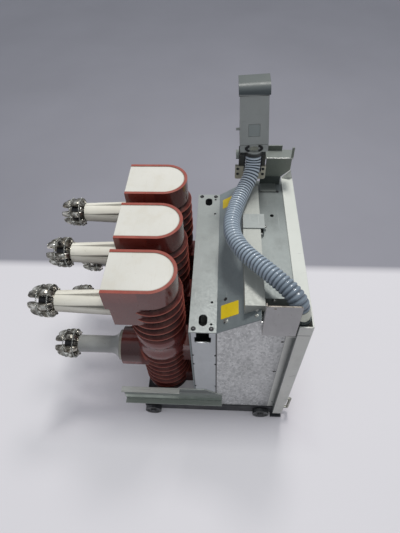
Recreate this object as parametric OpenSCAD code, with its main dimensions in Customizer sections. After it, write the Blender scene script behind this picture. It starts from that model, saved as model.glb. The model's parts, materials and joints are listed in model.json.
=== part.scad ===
// Three-pole gas insulated circuit breaker on its withdrawable truck.
// Millimetres. X runs across the width, the operator stands at -Y, the contacts point to +Y, Z is up.
// The origin is on the floor under the middle of the breaker.

/* [Poles] */
// Distance between neighbouring pole axes
pole_pitch = 150; // [140:1:180]
// Radius of the round end of a pole head, half its width
head_r = 58.5; // [54:0.5:62]
// Distance from the pole axis to the flat end of the head
head_reach = 94; // [85:1:110]
// Height of the top of the poles above the floor
pole_top_z = 592; // [580:1:620]
// Height of the smooth cap band at the top of a head
cap_band_h = 58; // [45:1:62]
// How far the block under the cap band is set back
block_setback = 9; // [4:0.5:15]
// Distance from the upper terminal axis up to the underside of the block's sides
block_drop = 2; // [0:0.5:6]
// Radius of the red sockets round both terminals
socket_r = 51; // [46:0.5:55]
// Length of the lower socket from the pole axis
socket_reach = 107; // [98:1:118]
// Radius of the pole column between its sheds
core_r = 54; // [50:0.5:56]
// Tip radius of the upper sheds
shed_r = 66; // [62:0.5:68]
// Tip radius of the lower sheds
low_shed_r = 63; // [60:0.5:66]
// Number of upper sheds
shed_count = 5; // [4:1:5]
// Number of lower sheds
low_shed_count = 7; // [5:1:7]
// Spacing of the lower sheds
low_shed_pitch = 25; // [22:0.5:25.5]
// Spacing of the upper sheds
shed_pitch = 26.5; // [24:0.5:27]
// Radius of the two bulges of the belt round the middle of a pole
belt_r = 64; // [60:0.5:66]
// Distance between the two bulges of the belt
belt_pitch = 54; // [48:0.5:55]
// Underside of the pole columns
pole_bottom_z = 105; // [95:1:108]
// Width of the red rim round the white lid
rim_w = 7.5; // [5:0.5:10]
// Depth of the recess that holds the lid
lid_recess = 4; // [3:0.5:6]
// How far the lid lies below the rim
lid_sink = 1; // [0.5:0.25:2]

/* [Terminals] */
// Height of the upper terminal axis
upper_z = 473; // [466:1:480]
// Height of the lower terminal axis
lower_z = 268; // [260:1:276]
// Distance from the pole axis to the back of the contacts
arm_reach = 230; // [205:1:255]
// Radius of the upper sleeve at the contact
upper_tip_r = 25; // [24:0.5:28]
// Radius of the upper sleeve at the pole
upper_root_r = 31; // [28:0.5:34]
// Number of flutes round the upper sleeve
flute_count = 6; // [5:1:8]
// Length of the flutes from the pole
flute_len = 130; // [100:1:136]
// Radius of the lower sleeve
lower_sleeve_r = 23.5; // [22:0.5:27]
// Radius of the bell at the foot of the lower sleeve
bell_r = 41; // [38:0.5:46]
// Length of the flare of the bell
bell_len = 26; // [20:1:32]

/* [Contacts] */
// Length of a contact
tulip_len = 62; // [58:1:76]
// Outer radius of the contact fingers
tulip_r = 39.5; // [37:0.5:42]
// Radius of the pin that the fingers close on
pin_r = 17.5; // [16:0.5:18]
// Number of fingers in a contact
finger_count = 6; // [5:1:6]
// Width of a finger
finger_w = 15.5; // [12:0.5:16.5]
// Length of the finger tips that touch the pin
jaw_len = 14; // [10:1:18]
// Wire radius of the springs round the fingers
spring_r = 1.6; // [1.2:0.1:2]

/* [Enclosure] */
// Distance from the outer pole axis to the side of the enclosure
enclosure_side = 75; // [72:1:90]
// Gap between the shed tips and the enclosure
pole_gap = 14; // [10:1:20]
// Thickness of the sheet metal
sheet = 3; // [2:0.5:3]
// Depth of the rear channel
channel_depth = 61; // [55:1:70]
// Height of the top of the rear channel
channel_top_z = 476; // [460:1:490]
// Underside of the enclosure
enclosure_bottom_z = 55; // [52:1:60]
// Length of the sloped cover from back to front
slope_len = 92; // [85:1:100]
// Rise of the sloped cover
slope_rise = 61; // [50:1:70]
// How far the level top lies below the front edge of the sloped cover
deck_step = 10; // [6:1:14]
// Length of the level top in front of the slope
deck_len = 75; // [70:1:85]
// Width of the pocket that the hose goes down into
pocket_w = 58; // [54:1:62]
// Depth of the pocket below the level top
pocket_depth = 57; // [50:1:65]

/* [Cable trunk] */
// Width of the cable trunk from back to front
trunk_w = 42; // [36:1:46]
// Height of the cable trunk above the level top
trunk_h = 21; // [18:1:24]
// Length of the cable trunk
trunk_len = 380; // [340:5:400]
// Length of the strap over the cable trunk
strap_len = 48; // [40:1:60]
// How far the strap reaches past the front of the cable trunk
strap_over = 10; // [6:1:14]

/* [Front] */
// Depth of the front frame
front_depth = 27.5; // [26.5:0.5:32]
// How far the front frame stands out beside the enclosure
front_step = 12; // [10:0.5:14]
// Length of the painted leg between the side plate and the front frame
front_leg = 17; // [14:0.5:20]
// Underside of the front frame
front_bottom_z = 30; // [29:1:36]
// Underside of the front cover
cover_bottom_z = 110; // [108:1:120]
// Width of the operating panel
panel_w = 220; // [180:5:260]
// Height of the operating panel
panel_h = 170; // [150:5:200]
// Height of the middle of the operating panel
panel_z = 380; // [340:5:400]

/* [Truck] */
// Radius of a wheel
wheel_r = 24; // [22:0.5:25]
// Width of a wheel
wheel_w = 10; // [8:0.5:10.5]
// Radius of the wheel pins
axle_r = 6; // [5:0.5:7]
// Radial clearance of a wheel on its pin
axle_fit = 0.05; // [0.03:0.01:0.08]
// Distance between the front and rear wheel axes
wheelbase = 322; // [310:1:345]
// Height of the truck side members
truck_h = 42; // [36:1:43]
// Width of the flanges of the truck side members
truck_flange = 24; // [20:1:30]
// Height of the truck front plate
crossbar_h = 96; // [80:1:98]
// Radius of the grip of a handle
grip_r = 4; // [3.5:0.25:4.5]
// Distance between the two feet of a handle
handle_h = 64; // [50:1:70]
// How far a handle stands out in front of the truck front plate
handle_reach = 19.5; // [16:0.5:24]

/* [Shutter rails] */
// Length of a shutter rail
rail_len = 280; // [240:5:300]
// Height of a shutter rail
rail_h = 83; // [70:1:90]
// Underside of the shutter rails
rail_z = 82; // [78:1:90]
// Width of the flanges of a shutter rail
rail_flange = 16; // [12:0.5:17]
// Length of the upper flange of a shutter rail from its rear end
rail_top_len = 162; // [140:1:180]

/* [Plug and hose] */
// Outer radius of the hose
hose_r = 20; // [18:0.5:20.5]
// Greatest width of the plug, near its foot
plug_w = 70; // [64:1:72]
// Width of the plug under its hood
plug_top_w = 64; // [58:1:66]
// Depth of the plug
plug_depth = 50; // [46:1:52]
// Height of the plug between its base and its hood
plug_h = 147; // [130:1:155]
// Height of the hood of the plug
hood_h = 22; // [21:1:30]
// Height of the shelf above the level top
shelf_h = 90; // [86:1:92]
// How far the plug leans back, in degrees
plug_lean = 3.5; // [2:0.5:4]

/* [Hidden] */
$fn = 64;

// Steps between neighbouring pieces
truck_step = 3;
cover_gap = 4;
cross_gap = 4;
plug_over_slope = 9;

// Places along Y, from the poles to the front
rear_y = -46.5;
pole_y = rear_y + pole_gap + shed_r;
contact_y = pole_y + arm_reach;
channel_front_y = rear_y - channel_depth;
slope_front_y = channel_front_y - slope_len;
deck_front_y = slope_front_y - deck_len;
front_y = deck_front_y - front_depth;
side_split_y = deck_front_y + front_leg;
plug_y = slope_front_y + plug_over_slope;

// Places across the width
pole_x = [-pole_pitch, 0, pole_pitch];
side_x = pole_pitch + enclosure_side;
frame_x = side_x + front_step;
truck_x = side_x + truck_step;
plug_x = 190;

// Heights
slope_top_z = channel_top_z + slope_rise;
slope_drop = sheet * sqrt(1 + pow(slope_rise / slope_len, 2));
deck_z = slope_top_z - deck_step;
trunk_top_z = deck_z + trunk_h;
shelf_z = deck_z + shelf_h;
cap_z = pole_top_z - cap_band_h;

// Pole: depth of the cones under and over a shed, half its lip, and the waist of the belt
shed_under = 6.5;
shed_over = 8.5;
shed_lip = 2;
belt_waist = 4;
belt_foot = 20;

// Pole: its foot flange, and the plain lengths above the foot, under the belt and under the cap band
foot_flange = 5;
foot_flange_h = 20;
foot_gap = 37;
belt_gap = 5;
cap_gap = 13;
low_shed_z = pole_bottom_z + foot_gap;
belt_z = low_shed_z + low_shed_count * low_shed_pitch + belt_gap;
high_shed_z = cap_z - cap_gap - (shed_count - 1) * shed_pitch;

// Pole: rise and height of the two bosses that are bolted to the rear wall, and their width
low_boss_rise = 10;
high_boss_drop = 18;
bosses = [[pole_bottom_z + low_boss_rise, 60], [lower_z - high_boss_drop, 80]];
boss_w = 60;
boss_sink = 6;

// Lid and sleeves
lid_fit = 0.3;
flute_root_r = 6;
flute_tip_r = 0.8;
flute_lift = 1.5;
bell_rim = 10;
flare_steps = 8;

// Contact: wall and root of the fingers, their hub, the rear spring, and the waist of the front one
finger_wall = 5;
finger_root = 3;
shoulder_z = 20;
shoulder = 5;
hub_r = pin_r + 3.5;
hub_len = 14;
tip_len = 27;
tip_drop = 8;
tip_face = 4;
waist_z = tulip_len - tip_len;
waist_depth = 6;
groove_z = 11;

// Rear channel: lifting slots and holes in its top, stepped hook slots and edge notches in its ends
slot_r = 9.5;
slot_len = 30;
slot_inset = 31;
channel_hole_r = 3;
channel_holes = [21, 79];
channel_hole_inset = 12;
hook_neck = [29, 20];
hook_body = [37, 18, 44];
hook_body_r = 5;
notch_z = [183, 317, 364];
notch_size = [4.5, 8];

// Side plate: fixing holes as distance behind its front edge, height and radius
plate_holes = [[5, 444, 3.5], [5, 292, 4], [48, 93, 2.5], [18, 93, 2.5]];
leg_hole = [6, 93, 2.5];

// Cable trunk and strap
trunk_x = -200;
trunk_lap = 8;
trunk_front_y = slope_front_y - trunk_lap;
trunk_rear_y = trunk_front_y + trunk_w;
strap_x = 20;
deck_hole = [88, 34];
deck_hole_r = 5;

// Front cover: upright ear at its right end, and the cut in its rim beside the hose
ear_rise = 27;
ear_setback = 8;
rim_cut = 30;

// Operating panel: thickness, push buttons, windows, charging socket and counter
panel_face = 5;
button_x = [-70, -30];
button_r = 14;
button_h = 6;
window_x = [25, 75];
window_size = [36, 24];
upper_row = 40;
socket_place = [-50, -40];
charge_r = 11;
counter_place = [50, -40];
counter_size = [70, 40];
engraving = 2;

// Hose shield
shield_len = 70;
shield_h = 108;
shield_gap = 3;
shield_drop = 35;
shield_bottom = deck_z - shield_drop;
shield_corner_r = 5;
shield_hole_r = 2.5;
shield_hole = [17, 6];
shield_foot_cut = 8;

// Hose gland: its place from the outside corner, its joint above the level top, its sizes and its shelf
gland_inset = [25, 18.5];
gland_rise = 2;
gland_x = frame_x - gland_inset[0];
gland_y = front_y + gland_inset[1];
gland_z = deck_z + gland_rise;
gland_r = 16;
ferrule_r = 20;
collar_over = 2;
collar_h = 12;
gland_drop = 37;
gland_shelf_z = deck_z - gland_drop;
gland_shelf_over = 6;

// Route of the hose from the plug to its gland: X, step from the plug's middle, height above the level top
hose_run = [[201, 0, 102], [197, 0, 88], [189.5, 0.5, 75], [178, 3, 64], [162, 9.5, 53.5],
    [140, 20, 45.5], [107, 32, 42.5], [64, 44, 44], [17, 52.5, 47.5], [-28, 50.5, 51.5],
    [-67, 36.5, 55.5], [-100, 16, 59], [-130, -10, 61.5], [-156, -34, 61.5], [-178, -56, 58],
    [-193.5, -71.5, 50.5], [-202.9, -81.3, 38.4], [-206.4, -85.8, 24.4]];
hose_route = [for (p = hose_run) [p[0], plug_y + p[1], deck_z + p[2]]];
hose_start = hose_route[0];
hose_end = hose_route[len(hose_route) - 1];
hose_sides = 10;

// Plug: foot, base, outlet for the hose, hood, and the details on its face
plug_foot_w = 68;
plug_rise = 15;
plug_base_h = 12;
plug_base_z = shelf_z + plug_rise;
plug_body_z = plug_base_z + plug_base_h;
plug_base_w = 58;
plug_inset = 6;
plug_waist_z = 26;
plug_seam_z = 20;
groove = 1.2;
recess_size = [27.5, 33];
recess_z = 60;
hood_edge_r = 19;
hood_lip = 3;
outlet_len = 13;
outlet_wall = 1.5;
pin_place = [10, 60];
plug_pin_r = 3;
plug_pin_len = 12;

// Clamp of the plug: front plate with ears, notched for the hose, its bridge and the foot behind it
clamp_setback = 5;
clamp_x = plug_x + clamp_setback;
clamp_t = 6;
ear_span = 79;
ear_shift = 5;
ear_drop = 59;
ear_h = 41;
ear_r = 5;
ear_holes = [16, 32];
ear_hole_r = 2.8;
ear_hole_inset = 7;
ear_bottom = shelf_z - ear_drop;
neck_w = 67;
neck_shift = 2.5;
hose_gap = 2.5;
notch_rise = 19;
bridge_t = 3;
foot_setback = 35.5;
clamp_foot_x = plug_x + foot_setback;

// Plug shelf: its folded sheet, how far it reaches past the level top and past the plug's middle
shelf_setback = 14;
shelf_x = plug_x + shelf_setback;
shelf_back_x = plug_x + plug_depth;
shelf_face_h = 57;
shelf_over_right = 18;
shelf_over_left = 43;
shelf_right_y = deck_front_y - shelf_over_right;
shelf_left_y = plug_y + shelf_over_left;
face_cut = 21;
shelf_notch_r = hose_r + 4;

// Plug shelf: its leg with the foot on the level top, and its upright tabs
leg_setback = 6;
shelf_leg_x = shelf_x + leg_setback;
leg_over_left = 24;
foot_reach = 32;
foot_inset = 12;
tab_h = 14;
tab_w = 36;
tab_inset = 26;
fin_h = 30;
fin_w = 6;

// Truck: channels, cross members, feet, pins and the front plate with its handles
channel_wall = 4;
front_axle_inset = 34;
wheel_y = [deck_front_y + front_axle_inset, deck_front_y + front_axle_inset + wheelbase];
wheel_gap = 2;
wheel_rim = 5;
wheel_dish = 2;
wheel_hub = 4;
pin_head_w = 2;
pin_head_over = 3;
pin_play = 0.5;
truck_rear_y = wheel_y[1] + wheel_r;
cross_w = 30;
cross_y = [front_y + cross_gap, rear_y - cross_w - cross_gap, truck_rear_y - cross_w - cross_gap];
foot_size = [12, 32, 6];
crossbar_z = cover_bottom_z - cover_gap - crossbar_h;
handle_inset = 14;
racking_r = 12;

// Shutter rails
rail_wall = 2.5;
rail_reach = 202;
rail_rear_y = rear_y + rail_reach;
ramp_len = 50;
ramp_drop = 35;

function slope_at(y) = channel_top_z + (channel_front_y - y) * slope_rise / slope_len;

// A plan with one round and one flat end, its flat end towards +Y
module head_plan(r, reach) {
    circle(r);
    translate([-r, 0]) square([2 * r, reach]);
}

// A cylinder along Y that starts at the given place
module along_y(r, len) {
    rotate([-90, 0, 0]) cylinder(r = r, h = len);
}

// A cylinder along X that starts at the given place
module along_x(r, len) {
    rotate([0, 90, 0]) cylinder(r = r, h = len);
}

// A side view, drawn with Y as its X and Z as its Y, made into a plate that starts at the given X
module side_view(x, len) {
    translate([x, 0, 0]) rotate([90, 0, 90]) linear_extrude(len) children();
}

// A plate outline with its two lower corners rounded, its foot at the origin
module rounded_foot(w, h, r) {
    for (s = [-1, 1]) translate([s * (w / 2 - r), r]) circle(r);
    translate([r - w / 2, 0]) square([w - 2 * r, h]);
    translate([-w / 2, r]) square([w, h - r]);
}

// One outline point list of a shed: its underside, lip and sloping top
function shed_outline(r, z) = [[core_r, z - shed_under], [r - 1, z - shed_lip], [r, z - shed_lip / 2],
    [r, z + shed_lip / 2], [r - 1, z + shed_lip], [core_r, z + shed_over]];

// Half section of the ribbed column, from its foot up to the cap band
module column_section() {
    foot_r = core_r + foot_flange;
    flange_z = pole_bottom_z + foot_flange_h;
    polygon(concat(
        [[0, pole_bottom_z], [foot_r - foot_flange / 2, pole_bottom_z],
            [foot_r, pole_bottom_z + foot_flange], [foot_r, flange_z], [core_r, flange_z + foot_flange]],
        [for (i = [0 : low_shed_count - 1]) each shed_outline(low_shed_r, low_shed_z + i * low_shed_pitch)],
        [[core_r, belt_z - belt_foot]],
        [for (i = [-2 : 10])
            [belt_r - belt_waist * (1 - cos(45 * i)) / 2, belt_z + i * belt_pitch / 8]],
        [[core_r, belt_z + belt_pitch + belt_foot]],
        [for (i = [0 : shed_count - 1]) each shed_outline(shed_r, high_shed_z + i * shed_pitch)],
        [[core_r, cap_z], [0, cap_z]]));
}

// Cast resin pole with its ribbed column, head, terminal sockets and mounting bosses
module pole(x) {
    block_reach = head_reach - block_setback;
    block_z = upper_z - block_drop;
    color("firebrick") translate([x, pole_y, 0]) difference() {
        union() {
            rotate_extrude() column_section();
            translate([0, 0, cap_z]) linear_extrude(cap_band_h) head_plan(head_r, head_reach);
            translate([-head_r, 0, block_z]) cube([2 * head_r, block_reach, cap_z - block_z]);
            translate([0, 0, upper_z]) along_y(socket_r, block_reach);
            translate([0, 0, lower_z]) along_y(socket_r, socket_reach);
            for (boss = bosses) translate([-boss_w / 2, rear_y - pole_y, boss[0]])
                cube([boss_w, pole_gap + shed_r - core_r + boss_sink, boss[1]]);
        }
        translate([0, 0, pole_top_z - lid_recess])
            linear_extrude(lid_recess + 1) head_plan(head_r - rim_w, head_reach + 1);
    }
}

// White lid that lies in the recess on top of a pole
module lid(x) {
    color("whitesmoke") translate([x, pole_y, pole_top_z - lid_recess])
        linear_extrude(lid_recess - lid_sink) head_plan(head_r - rim_w - lid_fit, head_reach);
}

// Tapered upper sleeve with wedge shaped flutes that deepen towards the pole
module upper_sleeve(x) {
    root = pole_y + head_reach - block_setback;
    len = contact_y - root;
    lean = atan((upper_root_r - upper_tip_r) / len);
    color("ivory") translate([x, root, upper_z]) rotate([-90, 0, 0]) difference() {
        cylinder(r1 = upper_root_r, r2 = upper_tip_r, h = len);
        for (i = [0 : flute_count - 1]) rotate([0, 0, 90 + i * 360 / flute_count])
            translate([upper_root_r + flute_lift, 0, -1]) rotate([0, -lean, 0])
                cylinder(r1 = flute_root_r, r2 = flute_tip_r, h = flute_len);
    }
}

// Smooth lower sleeve with the bell that seats on the socket
module lower_sleeve(x) {
    root = pole_y + socket_reach;
    len = contact_y - root;
    flare = bell_r - 2 - lower_sleeve_r;
    color("gainsboro") translate([x, root, lower_z]) rotate([-90, 0, 0]) rotate_extrude()
        polygon([[0, 0], [bell_r, 0], [bell_r, bell_rim],
            for (i = [0 : flare_steps]) let (t = i / flare_steps)
                [lower_sleeve_r + flare * pow(1 - t, 2), bell_rim + t * bell_len],
            [lower_sleeve_r, len], [0, len]]);
}

// Half section of the contact fingers: the radius outwards and the length from the sleeve
module finger_section() {
    waist_r = tulip_r - waist_depth;
    jaw_z = tulip_len - tip_face;
    jaw_back_z = jaw_z - jaw_len;
    polygon([[pin_r + finger_root, 2], [pin_r + 3 * finger_root, 2], [tulip_r - shoulder, shoulder_z / 2],
        [tulip_r, shoulder_z], [tulip_r, waist_z - waist_depth - tip_face],
        [waist_r + 3, waist_z - tip_face], [waist_r, waist_z - 2], [waist_r, waist_z + 3],
        [waist_r + 2, waist_z + waist_depth],
        [tulip_r - tip_drop, tulip_len - waist_depth], [pin_r + 2 * tip_face, tulip_len],
        [pin_r + tip_face, tulip_len], [pin_r, jaw_z], [pin_r, jaw_back_z],
        [pin_r + finger_wall, jaw_back_z - waist_depth], [pin_r + finger_wall, hub_len],
        [pin_r + finger_root, hub_len]]);
}

// Isolating contact: a hub, fingers round a pin, and the two ring springs that close them
module contact(x, z) {
    rings = [[tulip_r - waist_depth + spring_r, waist_z + 0.5], [tulip_r - 4 + spring_r, groove_z]];
    color("silver") translate([x, contact_y, z]) rotate([-90, 0, 0]) {
        cylinder(r = hub_r, h = hub_len);
        intersection() {
            rotate_extrude() finger_section();
            for (i = [0 : finger_count - 1]) rotate([0, 0, (i + 0.5) * 360 / finger_count])
                translate([0, -finger_w / 2, 0]) cube([tulip_r + 1, finger_w, tulip_len]);
        }
        for (ring = rings) rotate_extrude() translate(ring) circle(spring_r, $fn = 20);
    }
}

// Back wall of the enclosure, which the poles are bolted to
module rear_wall() {
    color("gray") translate([-side_x, rear_y - sheet, enclosure_bottom_z])
        cube([2 * side_x, sheet, channel_top_z - sheet - enclosure_bottom_z]);
}

// Cutter for a lifting slot with round ends, long across the width
module lifting_slot(x) {
    translate([x, rear_y - channel_depth / 2, channel_top_z - sheet - 1]) linear_extrude(sheet + 2) {
        for (s = [-1, 1]) translate([s * (slot_len / 2 - slot_r), 0]) circle(slot_r);
        square([slot_len - 2 * slot_r, 2 * slot_r], center = true);
    }
}

// Top strip of the rear channel with its lifting slots and fixing holes
module channel_top() {
    hole_y = channel_front_y + channel_hole_inset;
    color("lightgray") difference() {
        translate([-side_x, channel_front_y, channel_top_z - sheet])
            cube([2 * side_x, channel_depth, sheet]);
        for (s = [-1, 1]) {
            lifting_slot(s * (side_x - slot_inset));
            for (inset = channel_holes)
                translate([s * (side_x - inset), hole_y, channel_top_z - sheet - 1])
                    cylinder(r = channel_hole_r, h = sheet + 2);
        }
    }
}

// Side view of the stepped slot that takes a lifting hook, its top edge at the origin
module hook_slot_view() {
    translate([-hook_neck[0] / 2, -hook_neck[1]]) square([hook_neck[0], hook_neck[1] + 1]);
    translate([0, -hook_body[2]]) rounded_foot(hook_body[0], hook_body[2] - hook_body[1], hook_body_r);
}

// End plates of the rear channel with the notches along their edges, the left one with a hook slot
module channel_sides() {
    mid_y = rear_y - channel_depth / 2;
    top = channel_top_z - sheet;
    notch_y = [channel_front_y - 1, rear_y - sheet - notch_size[0]];
    color("lightgray") for (s = [-1, 1]) difference() {
        translate([s < 0 ? -side_x : side_x - sheet, channel_front_y, enclosure_bottom_z])
            cube([sheet, channel_depth - sheet, top - enclosure_bottom_z]);
        side_view(s < 0 ? -side_x - 1 : side_x - sheet - 1, sheet + 2) {
            if (s < 0) translate([mid_y, top]) hook_slot_view();
            for (z = notch_z, y = notch_y) translate([y, z]) square([notch_size[0] + 1, notch_size[1]]);
        }
    }
}

// Side view of a side plate
module side_outline() {
    polygon([[channel_front_y, enclosure_bottom_z], [channel_front_y, channel_top_z - slope_drop],
        [slope_front_y, slope_top_z - slope_drop], [slope_front_y, deck_z - sheet],
        [side_split_y, deck_z - sheet], [side_split_y, enclosure_bottom_z]]);
}

// Galvanised side plate with its fixing holes
module side_plate(s) {
    color("darkgray") difference() {
        side_view(s < 0 ? -side_x : side_x - sheet, sheet) side_outline();
        for (hole = plate_holes)
            translate([s < 0 ? -side_x - 1 : side_x - sheet - 1, side_split_y + hole[0], hole[1]])
                along_x(hole[2], sheet + 2);
    }
}

// Floor of the enclosure, which stands on the truck
module base_plate() {
    color("gray") translate([-side_x + sheet, deck_front_y, enclosure_bottom_z])
        cube([2 * (side_x - sheet), rear_y - sheet - deck_front_y, sheet]);
}

// Sloped cover between the rear channel and the level top
module sloped_cover() {
    color("slategray") side_view(-side_x, 2 * side_x)
        polygon([[channel_front_y, channel_top_z - slope_drop], [channel_front_y, channel_top_z],
            [slope_front_y, slope_top_z], [slope_front_y, slope_top_z - slope_drop]]);
}

// Level top with the pocket for the hose at the left end
module deck_plate() {
    pocket_x = -side_x + pocket_w;
    color("lightslategray") difference() {
        union() {
            translate([pocket_x, deck_front_y, deck_z - sheet])
                cube([side_x - pocket_x, deck_len, sheet]);
            translate([pocket_x, deck_front_y, deck_z - pocket_depth])
                cube([sheet, deck_len, pocket_depth]);
            translate([-side_x + sheet, deck_front_y, deck_z - pocket_depth])
                cube([pocket_w, deck_len, sheet]);
        }
        translate([deck_hole[0], deck_front_y + deck_hole[1], deck_z - sheet - 1])
            cylinder(r = deck_hole_r, h = sheet + 2);
    }
}

// Box shaped trunk for the control wiring, along the front of the slope
module cable_trunk() {
    color("lightgray") side_view(trunk_x, trunk_len)
        polygon([[trunk_rear_y, slope_at(trunk_rear_y)], [trunk_rear_y, trunk_top_z],
            [trunk_front_y, trunk_top_z], [trunk_front_y, deck_z], [slope_front_y, deck_z],
            [slope_front_y, slope_top_z]]);
}

// Strap that holds the cable trunk down
module trunk_strap() {
    strap_front_y = trunk_front_y - strap_over;
    color("lightgray") side_view(strap_x, strap_len)
        polygon([[trunk_rear_y, trunk_top_z], [trunk_rear_y, trunk_top_z + sheet],
            [strap_front_y, trunk_top_z + sheet], [strap_front_y, deck_z],
            [strap_front_y + sheet, deck_z], [strap_front_y + sheet, trunk_top_z]]);
}

// Bent strip beside the front cover, with the shelf that carries the hose gland on the left one
module front_frame(s) {
    inner_top = s < 0 ? gland_shelf_z - sheet : deck_z;
    leg_top = s < 0 ? gland_shelf_z - sheet : deck_z - sheet;
    mirror([s > 0 ? 1 : 0, 0, 0]) color("darkgray") {
        difference() {
            translate([-side_x, deck_front_y, enclosure_bottom_z])
                cube([sheet, front_leg, leg_top - enclosure_bottom_z]);
            translate([-side_x - 1, deck_front_y + leg_hole[0], leg_hole[1]])
                along_x(leg_hole[2], sheet + 2);
        }
        translate([-frame_x, deck_front_y - sheet, front_bottom_z])
            cube([frame_x - truck_x, sheet, inner_top - front_bottom_z]);
        translate([-frame_x, deck_front_y - sheet, enclosure_bottom_z])
            cube([front_step + sheet, sheet, inner_top - enclosure_bottom_z]);
        translate([-frame_x, front_y, front_bottom_z])
            cube([sheet, front_depth, deck_z - front_bottom_z]);
        if (s < 0) translate([-frame_x, front_y, gland_shelf_z - sheet])
            cube([frame_x - gland_x + gland_r + gland_shelf_over, side_split_y - front_y, sheet]);
    }
}

// Cream front cover with a rim along its top, cut away for the hose, and an ear at its right end
module front_cover() {
    top_z = deck_z + sheet;
    notch = frame_x - gland_x + rim_cut;
    color("beige") {
        translate([-frame_x, front_y - sheet, cover_bottom_z])
            cube([2 * frame_x, sheet, top_z - cover_bottom_z]);
        translate([-frame_x + notch, front_y, deck_z])
            cube([2 * frame_x - notch, front_depth, sheet]);
        side_view(frame_x - sheet, sheet) polygon([[deck_front_y, top_z - 1],
            [front_y - sheet, top_z - 1], [front_y - sheet + ear_setback, top_z + ear_rise]]);
    }
}

// Operating panel with its two push buttons, indicator windows, charging socket and counter
module operating_panel() {
    color("dimgray") translate([0, front_y - sheet, panel_z]) rotate([90, 0, 0]) difference() {
        union() {
            translate([-panel_w / 2, -panel_h / 2, 0]) cube([panel_w, panel_h, panel_face]);
            for (x = button_x) translate([x, upper_row, 0])
                cylinder(r = button_r, h = panel_face + button_h);
        }
        translate([0, 0, panel_face - engraving]) linear_extrude(engraving + 1) {
            for (x = window_x) translate([x, upper_row]) square(window_size, center = true);
            translate(counter_place) square(counter_size, center = true);
        }
        translate([socket_place[0], socket_place[1], -1]) cylinder(r = charge_r, h = panel_face + 2);
    }
}

// Side view of the hose shield with rounded upper corners and its hole
module shield_view() {
    difference() {
        mirror([0, 1]) rounded_foot(shield_len, shield_h, shield_corner_r);
        translate([shield_len / 2 - shield_hole[0], -shield_hole[1]]) circle(shield_hole_r);
    }
}

// Upright plate that guards the hose on the left side, with flanges against the side plate
module hose_shield() {
    rear = slope_front_y - shield_gap;
    color("rosybrown") {
        translate([0, rear - shield_len / 2, shield_bottom + shield_h]) side_view(-frame_x, sheet)
            shield_view();
        translate([-frame_x, rear - sheet, shield_bottom])
            cube([front_step, sheet, shield_h - shield_corner_r]);
        translate([-frame_x, rear - shield_len + shield_foot_cut, shield_bottom])
            cube([front_step, shield_len - shield_foot_cut, sheet]);
    }
}

// Gland that the hose ends in: a round tail with a collar, and a ferrule that leans towards the hose
module hose_gland() {
    reach = hose_end - [-gland_x, gland_y, gland_z];
    ferrule_len = norm(reach);
    color("silver") translate([-gland_x, gland_y, 0]) {
        translate([0, 0, gland_shelf_z]) cylinder(r = gland_r, h = gland_z - gland_shelf_z);
        translate([0, 0, gland_z - collar_h]) cylinder(r = gland_r + collar_over, h = collar_h);
        translate([0, 0, gland_z]) rotate([0, acos(reach[2] / ferrule_len), atan2(reach[1], reach[0])]) {
            sphere(gland_r);
            translate([0, 0, gland_r / 2]) cylinder(r = ferrule_r, h = ferrule_len - gland_r / 2);
        }
    }
}

function unit(v) = v / norm(v);
function route_dir(p, i) = unit(p[min(i + 1, len(p) - 1)] - p[max(i - 1, 0)]);
// Directions across the route, each turned as little as possible from the one before
function across(p, i) = i == 0
    ? unit(cross(route_dir(p, 0), [1, 0, 0]))
    : let (a = across(p, i - 1), d = route_dir(p, i)) unit(a - d * (a * d));

// A round tube swept along the points of a route
module swept_tube(route, r, sides) {
    turn = 360 / sides;
    rings = [for (i = [0 : len(route) - 1])
        let (a = across(route, i), b = cross(route_dir(route, i), a))
            [for (k = [0 : sides - 1]) route[i] + r * (a * cos(turn * k) + b * sin(turn * k))]];
    n = len(route);
    polyhedron(
        points = [for (ring = rings) each ring],
        faces = concat(
            [[for (k = [0 : sides - 1]) k]],
            [[for (k = [0 : sides - 1]) (n - 1) * sides + sides - 1 - k]],
            [for (i = [0 : n - 2], k = [0 : sides - 1])
                [i * sides + k, (i + 1) * sides + k, (i + 1) * sides + (k + 1) % sides,
                    i * sides + (k + 1) % sides]]));
}

// Control hose from the plug over the level top to the gland
module hose() {
    color("lightsteelblue") swept_tube(hose_route, hose_r, hose_sides);
}

// Front view of the plug's body, drawn with Y as its X and the height as its Y
module plug_view() {
    polygon([[-plug_foot_w / 2, 0], [plug_foot_w / 2, 0], [plug_w / 2, plug_waist_z],
        [plug_top_w / 2, plug_h], [-plug_top_w / 2, plug_h], [-plug_w / 2, plug_waist_z]]);
}

// Side view of the hood of the plug, with its front upper edge rounded
module hood_view() {
    depth = plug_depth + hood_lip;
    intersection() {
        square([depth, hood_h]);
        union() {
            translate([hood_edge_r, hood_h - hood_edge_r]) circle(hood_edge_r);
            translate([hood_edge_r, 0]) square([depth - hood_edge_r, hood_h]);
            square([hood_edge_r, hood_h - hood_edge_r]);
        }
    }
}

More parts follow.
